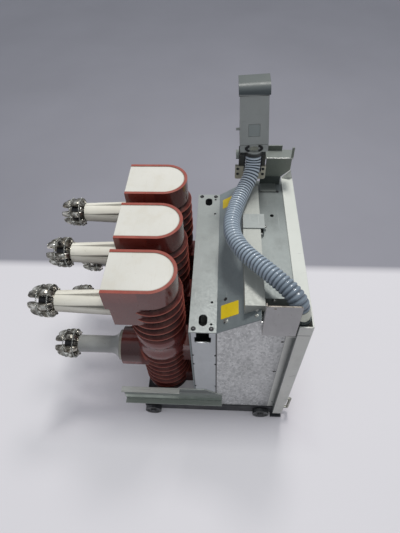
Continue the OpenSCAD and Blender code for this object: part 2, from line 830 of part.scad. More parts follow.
// Control plug, parked on its clamp: base with the hose outlet, leaning body, and hood
module plug() {
    hood_w = plug_top_w + 2 * hood_lip;
    way_out = hose_start - hose_route[1];
    outlet_tilt = atan2(way_out[0], way_out[2]);
    color("slategray") {
        translate([plug_x + plug_inset, plug_y - plug_base_w / 2, plug_base_z])
            cube([plug_depth - 2 * plug_inset, plug_base_w, plug_body_z - plug_base_z + 2]);
        translate(hose_start) rotate([0, outlet_tilt, 0])
            cylinder(r = hose_r + outlet_wall, h = outlet_len);
        translate([plug_x, plug_y, plug_body_z]) rotate([-plug_lean, 0, 0]) {
            difference() {
                rotate([90, 0, 90]) linear_extrude(plug_depth) plug_view();
                translate([-1, -recess_size[0] / 2, recess_z - recess_size[1] / 2])
                    cube([1 + groove, recess_size[0], recess_size[1]]);
                translate([-1, -plug_w, plug_seam_z]) cube([1 + groove, 2 * plug_w, groove]);
            }
            translate([-hood_lip, hood_w / 2, plug_h]) rotate([90, 0, 0])
                linear_extrude(hood_w) hood_view();
            translate([pin_place[0], plug_top_w / 2 - 1, pin_place[1]]) along_y(plug_pin_r, plug_pin_len);
        }
    }
}

// Front view of the clamp's plate: a neck with an ear on each side, and the notch for the hose
module clamp_view() {
    ear_y = plug_y + ear_shift;
    neck_y = plug_y + neck_shift;
    difference() {
        union() {
            translate([ear_y, ear_bottom]) rounded_foot(ear_span, ear_h, ear_r);
            translate([neck_y - neck_w / 2, ear_bottom + ear_r])
                square([neck_w, plug_base_z - ear_bottom - ear_r]);
        }
        translate([plug_y - hose_r - hose_gap, ear_bottom + notch_rise])
            square([2 * (hose_r + hose_gap), plug_base_z - ear_bottom]);
        for (s = [-1, 1], h = ear_holes)
            translate([ear_y + s * (ear_span / 2 - ear_hole_inset), ear_bottom + h]) circle(ear_hole_r);
    }
}

// Clamp that carries the plug: its front plate, the bridge under the plug, and a foot behind the hose
module plug_clamp() {
    back_x = plug_x + plug_depth - plug_inset;
    color("wheat") {
        side_view(clamp_x, clamp_t) clamp_view();
        difference() {
            translate([clamp_x, plug_y + neck_shift - neck_w / 2, plug_base_z - bridge_t])
                cube([back_x - clamp_x, neck_w, bridge_t]);
            translate([clamp_x - 1, plug_y - hose_r - hose_gap, plug_base_z - bridge_t - 1])
                cube([clamp_foot_x - clamp_x + 1, 2 * (hose_r + hose_gap), bridge_t + 2]);
        }
        translate([clamp_foot_x, plug_y - plug_base_w / 2, shelf_z])
            cube([back_x - clamp_foot_x, plug_base_w, plug_base_z - shelf_z]);
    }
}

// Folded shelf on the level top, notched for the hose: top, face with a cut corner, leg, foot and tabs
module plug_shelf() {
    top_z = shelf_z - sheet;
    face_bottom = shelf_z - shelf_face_h;
    face_left_y = plug_y + ear_shift - ear_span / 2;
    face_right_y = shelf_right_y + fin_w / 2;
    return_right_y = face_right_y + face_cut;
    leg_left_y = plug_y - leg_over_left;
    color("darkseagreen") {
        difference() {
            translate([shelf_x, shelf_right_y, top_z])
                cube([shelf_back_x - shelf_x, shelf_left_y - shelf_right_y, sheet]);
            translate([shelf_x - 1, plug_y - shelf_notch_r, top_z - 1])
                cube([clamp_foot_x - shelf_x - 1, 2 * shelf_notch_r, sheet + 2]);
        }
        side_view(shelf_x, sheet) polygon([[face_left_y, shelf_z], [face_left_y, face_bottom],
            [return_right_y, face_bottom], [face_right_y, face_bottom + face_cut],
            [face_right_y, shelf_z]]);
        translate([shelf_x, return_right_y, face_bottom])
            cube([shelf_leg_x + sheet - shelf_x, leg_left_y - return_right_y, sheet]);
        translate([shelf_leg_x, return_right_y, deck_z])
            cube([sheet, leg_left_y - return_right_y, face_bottom + sheet - deck_z]);
        translate([shelf_leg_x - foot_reach, return_right_y + foot_inset, deck_z])
            cube([foot_reach + sheet, leg_left_y - return_right_y - foot_inset, sheet]);
        translate([shelf_back_x - sheet, shelf_right_y + tab_inset, top_z])
            cube([sheet, tab_w, tab_h + sheet]);
        translate([shelf_x, shelf_right_y, top_z]) cube([sheet, fin_w, fin_h + sheet]);
    }
}

// Truck under the enclosure: two channels, cross members and the fixed wheel pins
module truck_frame() {
    z = enclosure_bottom_z - truck_h;
    run = truck_rear_y - front_y;
    pin_len = wheel_gap + wheel_w + pin_play;
    color("dimgray") {
        for (s = [0, 1]) mirror([s, 0, 0]) {
            translate([-truck_x, front_y, z]) difference() {
                cube([truck_flange, run, truck_h]);
                translate([channel_wall, -1, channel_wall])
                    cube([truck_flange, run + 2, truck_h - 2 * channel_wall]);
            }
            for (y = wheel_y) translate([-truck_x - pin_len, y, wheel_r]) {
                along_x(axle_r, pin_len + channel_wall);
                translate([-pin_head_w, 0, 0]) along_x(axle_r + pin_head_over, pin_head_w);
            }
            translate([-truck_x - foot_size[0], front_y, z - foot_size[2]])
                cube([foot_size[0] + truck_flange, foot_size[1], foot_size[2]]);
        }
        for (y = cross_y) translate([-truck_x + channel_wall, y, z + channel_wall])
            cube([2 * (truck_x - channel_wall), cross_w, truck_h - 2 * channel_wall]);
    }
}

// Front plate of the truck with its two handles and the racking hole
module truck_front() {
    plate_y = front_y - channel_wall;
    grip_y = plate_y - handle_reach + grip_r;
    mid_z = crossbar_z + crossbar_h / 2;
    color("silver") {
        difference() {
            translate([-truck_x, plate_y, crossbar_z]) cube([2 * truck_x, channel_wall, crossbar_h]);
            translate([0, plate_y - 1, mid_z]) along_y(racking_r, channel_wall + 2);
        }
        for (s = [-1, 1]) translate([s * (truck_x - handle_inset), grip_y, mid_z]) {
            for (h = [-handle_h / 2, handle_h / 2]) translate([0, 0, h]) {
                along_y(grip_r, plate_y - grip_y + 0.5);
                sphere(grip_r);
            }
            translate([0, 0, -handle_h / 2]) cylinder(r = grip_r, h = handle_h);
        }
    }
}

// Wheel with a hub and a running bore
module wheel(s, y) {
    place = [s * (truck_x + wheel_gap), y, wheel_r];
    color("dimgray") translate(place) rotate([0, s * 90, 0]) difference() {
        cylinder(r = wheel_r, h = wheel_w);
        translate([0, 0, -1]) cylinder(r = axle_r + axle_fit, h = wheel_w + 2);
        translate([0, 0, wheel_w - wheel_dish]) difference() {
            cylinder(r = wheel_r - wheel_rim, h = wheel_dish + 1);
            cylinder(r = axle_r + wheel_hub, h = wheel_dish + 1);
        }
    }
}

// Channels along both sides that work the shutters of the cubicle, with a ramp at the front
module shutter_rails() {
    low = rail_h - ramp_drop;
    color("lightgray") for (s = [0, 1]) mirror([s, 0, 0]) difference() {
        translate([-side_x, rail_rear_y, rail_z]) rotate([90, 0, -90]) linear_extrude(rail_flange)
            polygon([[0, 0], [rail_len, 0], [rail_len, low], [rail_len - ramp_len, rail_h], [0, rail_h]]);
        translate([-side_x - rail_wall, rail_rear_y + 1, rail_z]) rotate([90, 0, -90])
            linear_extrude(rail_flange)
                polygon([[0, rail_wall], [rail_len + 2, rail_wall], [rail_len + 2, rail_h + 1],
                    [rail_top_len + 1, rail_h + 1], [rail_top_len + 1, rail_h - rail_wall],
                    [0, rail_h - rail_wall]]);
    }
}

pole(pole_x[0]);  // pole_left
pole(pole_x[1]);  // pole_middle
pole(pole_x[2]);  // pole_right
lid(pole_x[0]);  // lid_left
lid(pole_x[1]);  // lid_middle
lid(pole_x[2]);  // lid_right
upper_sleeve(pole_x[0]);  // upper_sleeve_left
upper_sleeve(pole_x[1]);  // upper_sleeve_middle
upper_sleeve(pole_x[2]);  // upper_sleeve_right
lower_sleeve(pole_x[0]);  // lower_sleeve_left
lower_sleeve(pole_x[1]);  // lower_sleeve_middle
lower_sleeve(pole_x[2]);  // lower_sleeve_right
contact(pole_x[0], upper_z);  // upper_contact_left
contact(pole_x[1], upper_z);  // upper_contact_middle
contact(pole_x[2], upper_z);  // upper_contact_right
contact(pole_x[0], lower_z);  // lower_contact_left
contact(pole_x[1], lower_z);  // lower_contact_middle
contact(pole_x[2], lower_z);  // lower_contact_right
rear_wall();
channel_top();
channel_sides();
side_plate(-1);  // side_plate_left
side_plate(1);  // side_plate_right
base_plate();
sloped_cover();
deck_plate();
cable_trunk();
trunk_strap();
front_frame(-1);  // front_frame_left
front_frame(1);  // front_frame_right
front_cover();
operating_panel();
hose_shield();
hose_gland();
hose();
plug();
plug_clamp();
plug_shelf();
truck_frame();
truck_front();
wheel(-1, wheel_y[0]);  // wheel_front_left
wheel(1, wheel_y[0]);  // wheel_front_right
wheel(-1, wheel_y[1]);  // wheel_rear_left
wheel(1, wheel_y[1]);  // wheel_rear_right
shutter_rails();
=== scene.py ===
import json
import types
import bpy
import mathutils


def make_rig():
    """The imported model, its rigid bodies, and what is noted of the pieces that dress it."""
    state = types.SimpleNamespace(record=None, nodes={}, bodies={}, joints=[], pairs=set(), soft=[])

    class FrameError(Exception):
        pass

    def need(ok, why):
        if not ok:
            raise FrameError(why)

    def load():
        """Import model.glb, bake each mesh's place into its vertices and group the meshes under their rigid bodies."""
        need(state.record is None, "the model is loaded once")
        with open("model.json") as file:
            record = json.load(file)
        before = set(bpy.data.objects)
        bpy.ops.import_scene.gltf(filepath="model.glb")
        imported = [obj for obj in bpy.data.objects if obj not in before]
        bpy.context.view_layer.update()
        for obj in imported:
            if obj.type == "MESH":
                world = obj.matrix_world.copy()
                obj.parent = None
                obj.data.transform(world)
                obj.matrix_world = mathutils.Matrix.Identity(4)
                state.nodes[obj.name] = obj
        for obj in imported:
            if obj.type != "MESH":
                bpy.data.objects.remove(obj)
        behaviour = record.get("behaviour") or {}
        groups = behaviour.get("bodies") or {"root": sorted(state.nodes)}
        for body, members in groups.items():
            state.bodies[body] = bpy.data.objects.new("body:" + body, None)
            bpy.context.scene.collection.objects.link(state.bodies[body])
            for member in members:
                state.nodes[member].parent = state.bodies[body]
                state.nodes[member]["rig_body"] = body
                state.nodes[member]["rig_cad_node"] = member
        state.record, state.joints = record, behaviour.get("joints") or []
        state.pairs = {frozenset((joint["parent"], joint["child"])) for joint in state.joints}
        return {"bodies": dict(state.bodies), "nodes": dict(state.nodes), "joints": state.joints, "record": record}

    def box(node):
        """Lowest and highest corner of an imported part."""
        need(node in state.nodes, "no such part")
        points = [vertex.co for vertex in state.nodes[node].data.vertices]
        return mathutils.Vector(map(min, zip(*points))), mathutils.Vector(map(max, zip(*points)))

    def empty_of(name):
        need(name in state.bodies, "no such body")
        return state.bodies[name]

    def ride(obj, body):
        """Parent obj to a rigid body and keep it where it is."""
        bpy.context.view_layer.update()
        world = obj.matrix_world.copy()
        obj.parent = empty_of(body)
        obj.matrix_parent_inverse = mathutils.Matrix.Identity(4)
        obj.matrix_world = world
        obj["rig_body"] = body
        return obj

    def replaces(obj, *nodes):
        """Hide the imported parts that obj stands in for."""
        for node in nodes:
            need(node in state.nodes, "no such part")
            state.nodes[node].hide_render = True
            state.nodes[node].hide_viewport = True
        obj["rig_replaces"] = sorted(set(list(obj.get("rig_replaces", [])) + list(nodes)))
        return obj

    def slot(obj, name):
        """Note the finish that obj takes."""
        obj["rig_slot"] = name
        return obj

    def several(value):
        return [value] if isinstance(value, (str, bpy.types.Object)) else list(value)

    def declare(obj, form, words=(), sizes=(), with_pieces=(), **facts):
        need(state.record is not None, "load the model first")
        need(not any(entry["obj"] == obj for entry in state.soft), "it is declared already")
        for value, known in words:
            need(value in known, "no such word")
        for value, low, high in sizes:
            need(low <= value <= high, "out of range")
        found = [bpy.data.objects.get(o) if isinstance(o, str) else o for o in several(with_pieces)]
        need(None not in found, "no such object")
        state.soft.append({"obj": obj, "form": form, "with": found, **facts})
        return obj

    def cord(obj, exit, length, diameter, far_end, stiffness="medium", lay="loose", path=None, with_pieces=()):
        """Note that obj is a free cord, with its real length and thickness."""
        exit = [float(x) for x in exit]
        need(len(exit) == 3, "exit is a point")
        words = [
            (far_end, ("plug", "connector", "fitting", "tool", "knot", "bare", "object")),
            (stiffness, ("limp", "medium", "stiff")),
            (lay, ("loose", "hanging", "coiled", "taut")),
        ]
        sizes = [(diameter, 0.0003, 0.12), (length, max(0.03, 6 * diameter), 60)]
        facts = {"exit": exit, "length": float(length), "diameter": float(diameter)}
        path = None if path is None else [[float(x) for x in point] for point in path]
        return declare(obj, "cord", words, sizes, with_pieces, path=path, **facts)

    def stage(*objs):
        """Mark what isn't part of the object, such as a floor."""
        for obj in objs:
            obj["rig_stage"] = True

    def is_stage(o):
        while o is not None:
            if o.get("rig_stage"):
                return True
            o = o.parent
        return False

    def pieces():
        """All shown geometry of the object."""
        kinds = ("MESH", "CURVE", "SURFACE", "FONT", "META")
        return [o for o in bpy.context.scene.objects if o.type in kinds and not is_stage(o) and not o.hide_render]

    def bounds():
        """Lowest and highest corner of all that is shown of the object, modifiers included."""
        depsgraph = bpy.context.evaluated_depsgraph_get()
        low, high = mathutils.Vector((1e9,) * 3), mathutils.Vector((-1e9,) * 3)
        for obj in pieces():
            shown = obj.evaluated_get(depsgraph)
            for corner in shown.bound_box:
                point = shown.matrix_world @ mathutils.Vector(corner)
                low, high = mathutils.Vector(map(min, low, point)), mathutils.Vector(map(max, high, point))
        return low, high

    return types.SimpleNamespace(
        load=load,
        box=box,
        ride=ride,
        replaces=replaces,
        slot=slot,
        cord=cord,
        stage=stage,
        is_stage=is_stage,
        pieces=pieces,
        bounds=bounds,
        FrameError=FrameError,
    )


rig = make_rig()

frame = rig.load()

import json
from math import copysign, cos, exp, pi, radians, sin, sqrt

import bpy
from mathutils import Matrix, Vector

MM = 0.001
X, Y, Z = 0, 1, 2
BODY = "breaker"
cad_low, cad_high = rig.bounds()


# Places of the nodes, in metres: the lowest, highest and middle place of a box along an axis

def low_of(node, axis):
    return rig.box(node)[0][axis]


def high_of(node, axis):
    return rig.box(node)[1][axis]


def mid_of(node, axis):
    return (low_of(node, axis) + high_of(node, axis)) / 2


# Edge of the lid in from the widest shed, foot of the head below the lid, middle of the belt above the
# pole's foot, and how much less the sheds under the belt stand out
LID_INSET, HEAD_DROP, BELT_RISE, LOW_SHED_STEP = 0.0153, 0.054, 0.244, 0.003
# Where tones start and where they are full: half the belt, the lower socket behind the axis and above
# its terminal, and the block of the head below the upper terminal
BELT_HALF = (0.047, 0.040)
SOCKET_BEHIND, SOCKET_ABOVE = (0.052, 0.060), (0.050, 0.045)
BLOCK_BELOW = (0.056, 0.052)

POLE_PITCH = low_of("pole_right", X) - low_of("pole_middle", X)
SHED_R = (high_of("pole_middle", X) - low_of("pole_middle", X)) / 2
LOW_SHED_R = SHED_R - LOW_SHED_STEP
POLE_Y = low_of("lid_middle", Y) + SHED_R - LID_INSET
POLE_TOP = high_of("pole_middle", Z)
HEAD_Z = low_of("lid_middle", Z) - HEAD_DROP
BELT_Z = low_of("pole_middle", Z) + BELT_RISE
UPPER_Z = mid_of("upper_sleeve_middle", Z)
LOWER_Z = mid_of("lower_sleeve_middle", Z)


# Colours and small helpers

def srgb(r, g, b):
    """A colour given as 0 to 255 values, as the linear colour that shaders use."""
    def linear(c):
        c = c / 255
        return c / 12.92 if c <= 0.04045 else ((c + 0.055) / 1.055) ** 2.4
    return (linear(r), linear(g), linear(b), 1.0)


def add_node(tree, kind, inputs, out, **settings):
    """The output of a new node, whose inputs are plain values or outputs of other nodes."""
    n = tree.nodes.new(kind)
    for k, v in settings.items():
        setattr(n, k, v)
    for k, v in inputs.items():
        if hasattr(v, "is_linked"):
            tree.links.new(v, n.inputs[k])
        else:
            n.inputs[k].default_value = v
    return n.outputs[out]


def map_inputs(value, lo, hi, to_lo, to_hi):
    return {"Value": value, "From Min": lo, "From Max": hi, "To Min": to_lo, "To Max": to_hi}


class Paint:
    """A procedural material: a principled shader with the texture nodes that feed it.

    Noise scales are in cycles per metre, colours are 0 to 255 values, and masks run from 0 to 1.
    """

    def __init__(self, rough=0.5, metal=0.0, bevel=0.0):
        self.mat = bpy.data.materials.new("paint")
        self.mat.use_nodes = True
        self.tree = self.mat.node_tree
        self.shader = self.tree.nodes["Principled BSDF"]
        self.set("Roughness", rough)
        self.set("Metallic", metal)
        self.coords = self.node("ShaderNodeTexCoord", {}, "Object")
        self.normal = None
        if bevel:
            self.normal = self.node("ShaderNodeBevel", {"Radius": bevel * MM}, "Normal", samples=4)
            self.link(self.normal, "Normal")

    def set(self, name, value):
        self.shader.inputs[name].default_value = value

    def link(self, out, name):
        self.tree.links.new(out, self.shader.inputs[name])

    def node(self, kind, inputs, out, **settings):
        return add_node(self.tree, kind, inputs, out, **settings)

    # Patterns

    def place(self, stretch=None):
        """The place on the object, stretched along its axes if asked."""
        if stretch is None:
            return self.coords
        return self.node("ShaderNodeMapping", {"Vector": self.coords, "Scale": stretch}, "Vector")

    def noise(self, scale, detail=4.0, rough=0.55, stretch=None):
        inputs = {"Vector": self.place(stretch), "Scale": scale, "Detail": detail, "Roughness": rough}
        return self.node("ShaderNodeTexNoise", inputs, "Fac")

    def cells(self, scale, stretch=None):
        """One grey value for each crystal of a Voronoi pattern."""
        inputs = {"Vector": self.place(stretch), "Scale": scale}
        colour = self.node("ShaderNodeTexVoronoi", inputs, "Color", feature="F1")
        return self.node("ShaderNodeRGBToBW", {0: colour}, 0)

    # Sums

    def maths(self, op, a, b=0.5, clamp=False):
        return self.node("ShaderNodeMath", {0: a, 1: b}, 0, operation=op, use_clamp=clamp)

    def plus(self, a, b):
        return self.maths("ADD", a, b)

    def minus(self, a, b):
        return self.maths("SUBTRACT", a, b)

    def times(self, a, b):
        return self.maths("MULTIPLY", a, b)

    def larger(self, a, b):
        return self.maths("MAXIMUM", a, b)

    def size(self, value):
        return self.maths("ABSOLUTE", value)

    def span(self, value, lo, hi, to_lo=0.0, to_hi=1.0):
        """The value from lo to hi, drawn out to run from to_lo to to_hi and held there."""
        return self.node("ShaderNodeMapRange", map_inputs(value, lo, hi, to_lo, to_hi), "Result")

    # Places and directions

    def part(self, vector, axis):
        return self.node("ShaderNodeSeparateXYZ", {0: vector}, axis)

    def true_normal(self):
        return self.node("ShaderNodeNewGeometry", {}, "Normal")

    def normal_part(self, axis):
        return self.part(self.true_normal(), axis)

    def place_part(self, axis):
        return self.part(self.coords, axis)

    def facing_up(self, lo=0.6, hi=0.95):
        return self.span(self.normal_part(Z), lo, hi)

    def between(self, axis, start, end):
        """A mask that grows from 0 to 1 between two places along an axis; places in millimetres."""
        return self.span(self.place_part(axis), start * MM, end * MM)

    def line(self, axis, place, half):
        """1 within a half width of a plane across an axis, soft at its sides; values in millimetres."""
        away = self.size(self.minus(self.place_part(axis), place * MM))
        return self.span(away, half * MM * 0.5, half * MM, 1.0, 0.0)

    def edges(self, lo=0.86, hi=0.99):
        """1 on rounded corners, 0 on flat ground, from the bevelled and the true normal."""
        inputs = {0: self.normal, 1: self.true_normal()}
        alike = self.node("ShaderNodeVectorMath", inputs, "Value", operation="DOT_PRODUCT")
        return self.span(alike, lo, hi, 1.0, 0.0)

    def pole_x(self):
        """Place across the width, from the middle of the nearest pole."""
        half = POLE_PITCH / 2
        return self.minus(self.maths("FLOORED_MODULO", self.plus(self.place_part(X), half), POLE_PITCH), half)

    def from_pole(self, ahead_only=False):
        """Distance from the axis of the nearest pole; ahead_only counts Y only in front of the axis."""
        x = self.pole_x()
        y = self.minus(self.place_part(Y), POLE_Y)
        if ahead_only:
            y = self.maths("MINIMUM", y, 0.0)
        return self.maths("SQRT", self.plus(self.times(x, x), self.times(y, y)))

    # Colour, roughness and relief

    def ramp(self, fac, *stops):
        """A colour from a value, through stops of (value, colour)."""
        n = self.tree.nodes.new("ShaderNodeValToRGB")
        self.tree.links.new(fac, n.inputs["Fac"])
        ramp = n.color_ramp
        while len(ramp.elements) < len(stops):
            ramp.elements.new(0.5)
        for e, (at, colour) in zip(ramp.elements, stops):
            e.position = at
            e.color = srgb(*colour)
        return n.outputs["Color"]

    def tones(self, fac, dark, light):
        """The usual cloudy tone between two colours."""
        return self.ramp(fac, (0.3, dark), (0.7, light))

    def mix(self, fac, a, b):
        inputs = {"Factor": fac, 6: a, 7: b}
        return self.node("ShaderNodeMix", inputs, 2, data_type="RGBA", blend_type="MIX")

    def ground(self, colour):
        """Set the base colour."""
        self.base = colour
        self.link(colour, "Base Color")

    def tint(self, mask, strength, colour):
        """Lay a colour over the base where the mask says."""
        self.ground(self.mix(self.times(mask, strength), self.base, srgb(*colour)))

    def stain(self, noise, lo, hi, strength, colour):
        """Lay a colour over the base in patches, where a noise grows from lo to hi."""
        self.tint(self.span(self.noise(*noise), lo, hi), strength, colour)

    def roughness(self, scale, detail, smooth, rough):
        """A cloudy roughness between two values."""
        self.link(self.span(self.noise(scale, detail), 0.3, 0.7, smooth, rough), "Roughness")

    def coat(self, weight, rough):
        self.set("Coat Weight", weight)
        self.set("Coat Roughness", rough)

    def bump(self, height, strength, distance):
        """A bump of a depth in millimetres, on top of the ones before it."""
        inputs = {"Strength": strength, "Distance": distance * MM, "Height": height}
        if self.normal:
            inputs["Normal"] = self.normal
        self.normal = self.node("ShaderNodeBump", inputs, "Normal")
        self.link(self.normal, "Normal")


# Materials of the poles and their terminals

def pole_zones(p):
    """Masks of a pole: flat sides of the head, block of the head, column, belt and lower socket."""
    y, z = p.place_part(Y), p.place_part(Z)
    sideways = p.span(p.size(p.normal_part(X)), 0.965, 0.985)
    flat = p.times(sideways, p.span(p.size(p.minus(y, POLE_Y)), 0.018, 0.022))
    outside = p.larger(flat, p.span(p.from_pole(), SHED_R + 0.0006, SHED_R + 0.0012))
    block = p.times(outside, p.span(z, *(UPPER_Z - d for d in BLOCK_BELOW)))
    column = p.times(p.span(z, HEAD_Z + 0.001, HEAD_Z - 0.001), p.minus(1.0, block))
    belt = p.span(p.size(p.minus(z, BELT_Z)), *BELT_HALF)
    socket = p.times(p.span(y, *(POLE_Y + d for d in SOCKET_BEHIND)),
                     p.span(z, *(LOWER_Z + d for d in SOCKET_ABOVE)))
    return flat, block, column, belt, socket


def shed_lips(p, inside, flat):
    """The outermost edge of the sheds, where a highlight is painted, fainter on the low ones."""
    z = p.place_part(Z)
    lip = p.times(p.span(inside, 0.0014, 0.0003), p.span(inside, -0.0040, -0.0025))
    lip = p.times(lip, p.span(z, LOWER_Z + 0.04, UPPER_Z, 0.55, 1.0))
    return p.times(lip, p.minus(1.0, flat))


def red_resin():
    """Cast resin: dull ribs with painted shade in their valleys and painted highlights on their lips, and a glossy
    head, belt and socket.
    """
    p = Paint(bevel=1.2)
    edge = p.edges(0.8, 0.99)
    flat, block, column, belt, socket = pole_zones(p)
    z = p.place_part(Z)
    head = p.minus(1.0, column)
    ribbed = p.times(column, p.minus(1.0, belt))
    up = p.facing_up(0.3)
    reach = p.span(z, BELT_Z - 0.010, BELT_Z + 0.010, LOW_SHED_R, SHED_R)
    inside = p.minus(reach, p.from_pole())
    # Ground tone, darker on the ribbed column as a painted shade among its sheds, painted shade in the valleys between
    # the sheds, and fine specks
    cloud = p.noise(9, 5)
    p.ground(p.mix(column, p.tones(cloud, (92, 34, 29), (104, 41, 35)),
                   p.tones(cloud, (74, 23, 21), (88, 29, 26))))
    p.tint(p.times(ribbed, p.span(inside, 0.0025, 0.0095)), 0.85, (24, 8, 8))
    p.stain((420, 2), 0.42, 0.62, 0.08, (160, 104, 92))
    # Painted light on the faces of the head that face up, dust on all faces that face up, and a painted highlight on
    # the head's edges
    p.tint(p.times(up, head), 0.7, (158, 74, 58))
    p.tint(p.times(up, p.span(p.noise(38, 6), 0.42, 0.75)), 0.22, (176, 128, 112))
    p.tint(p.times(edge, head), 0.75, (198, 98, 78))
    # Painted highlights on the lips of the sheds, and a painted sheen on the belt
    p.tint(p.times(ribbed, shed_lips(p, inside, flat)), 0.8, (176, 98, 82))
    p.tint(p.times(column, belt), 0.5, (124, 48, 42))
    # Lower socket: painted shade above, a painted reflection of the floor below, with a moulding line between
    p.tint(p.times(socket, p.span(z, LOWER_Z - 0.004, LOWER_Z + 0.020)), 0.62, (40, 18, 20))
    p.tint(p.times(socket, p.span(z, LOWER_Z + 0.004, LOWER_Z - 0.006)), 0.65, (138, 50, 44))
    p.tint(p.times(socket, p.line(Z, LOWER_Z / MM + 1, 1.3)), 0.7, (176, 120, 114))
    # Painted light on the top of the block, painted shade on the undersides, and stains
    p.tint(p.times(block, p.span(z, POLE_TOP - 0.040, POLE_TOP - 0.004)), 0.3, (168, 76, 60))
    p.tint(p.span(p.normal_part(Z), -0.15, -0.85), 0.45, (58, 22, 20))
    p.stain((30, 6, 0.7, (1, 1, 0.4)), 0.56, 0.74, 0.22, (70, 34, 30))
    p.roughness(60, 4, 0.24, 0.4)
    p.set("IOR", 1.30)
    gloss = p.larger(head, p.times(p.larger(belt, socket), 0.8))
    p.link(p.span(gloss, 0.0, 1.0, 0.06, 1.0), "Coat Weight")
    p.set("Coat Roughness", 0.14)
    p.bump(p.noise(260, 3), 0.08, 0.4)
    p.bump(p.noise(18, 2), 0.12, 2)
    return p.mat


def white_lid():
    """White moulding: yellowed patches, fine scores across it, specks, and a dirty joint at its edge."""
    p = Paint(rough=0.55, bevel=0.8)
    p.ground(p.tones(p.noise(7, 4), (206, 204, 195), (214, 212, 204)))
    p.stain((26, 6, 0.65), 0.5, 0.78, 0.3, (190, 180, 156))
    p.stain((30, 3, 0.5, (1, 14, 1)), 0.6, 0.72, 0.16, (176, 170, 156))
    p.stain((150, 3), 0.7, 0.78, 0.35, (150, 142, 128))
    p.tint(p.span(p.from_pole(ahead_only=True), 0.0478, 0.0500), 0.65, (136, 133, 118))
    p.roughness(50, 4, 0.46, 0.64)
    p.bump(p.noise(500, 2), 0.08, 0.4)
    p.bump(p.noise(9, 2), 0.1, 2)
    return p.mat


def flute_shade(p):
    """Painted shade in the flutes of the upper sleeves: six lines round each sleeve that narrow towards its tip."""
    root = low_of("upper_sleeve_middle", Y)
    angle = p.maths("ARCTAN2", p.minus(p.place_part(Z), UPPER_Z), p.pole_x())
    turn = p.times(angle, 3 / pi)
    away = p.size(p.minus(p.maths("FRACT", p.plus(turn, 6)), 0.5))
    width = p.span(p.place_part(Y), root, root + 0.130, 0.33, 0.055)
    return p.maths("SUBTRACT", 1.0, p.maths("DIVIDE", away, width), clamp=True)


def ivory_sleeve():
    """Grubby ivory insulation: streaks along it, specks, and painted shade on its underside and in its flutes."""
    p = Paint(rough=0.42, bevel=0.8)
    p.ground(p.tones(p.noise(14, 4), (228, 224, 209), (240, 237, 224)))
    streak = p.span(p.noise(24, 5, 0.6, (1, 0.18, 1)), 0.48, 0.76)
    p.tint(streak, 0.38, (160, 152, 132))
    p.stain((120, 3), 0.66, 0.76, 0.45, (116, 104, 86))
    # Painted shade on the underside
    p.tint(p.span(p.normal_part(Z), 0.25, -0.6), 0.88, (104, 98, 80))
    # Painted shade in the flutes
    p.tint(flute_shade(p), 0.86, (76, 71, 60))
    p.link(p.span(streak, 0, 1, 0.36, 0.6), "Roughness")
    p.bump(p.noise(90, 4, 0.6, (1, 0.3, 1)), 0.18, 0.8)
    return p.mat


def grey_sleeve():
    """Grey moulding: clouds, a yellowed rim on the bell, a pale underside that is a painted reflection of the floor,
    and specks.
    """
    p = Paint(rough=0.34, bevel=1)
    p.ground(p.tones(p.noise(12, 4), (136, 137, 135), (153, 154, 151)))
    p.stain((30, 5), 0.46, 0.78, 0.35, (112, 110, 102))
    p.tint(p.span(p.place_part(Y), 0.1415, 0.1505, 1.0, 0.0), 0.6, (206, 196, 162))
    # Painted reflection of the floor on the underside
    p.tint(p.span(p.normal_part(Z), -0.08, -0.42), 0.9, (234, 224, 228))
    p.stain((140, 3), 0.66, 0.76, 0.4, (92, 88, 80))
    p.roughness(50, 4, 0.28, 0.44)
    p.coat(0.35, 0.15)
    p.bump(p.noise(300, 2), 0.06, 0.4)
    return p.mat


def silvered_copper():
    """Silver plating: bright to nearly black tarnish, brown patches and worn edges."""
    p = Paint(rough=0.3, metal=0.95, bevel=0.6)
    tarnish = p.span(p.noise(60, 5, 0.6), 0.36, 0.66)
    p.ground(p.ramp(tarnish, (0.0, (240, 238, 230)), (0.45, (150, 146, 137)), (1.0, (34, 33, 33))))
    p.stain((24, 3), 0.55, 0.7, 0.4, (96, 84, 60))
    p.tint(p.edges(0.9, 0.995), 0.45, (214, 210, 198))
    p.link(p.span(tarnish, 0, 1, 0.16, 0.48), "Roughness")
    p.bump(p.noise(200, 3), 0.1, 0.4)
    return p.mat


# Materials of the enclosure, the truck and the small parts; places in them are in millimetres

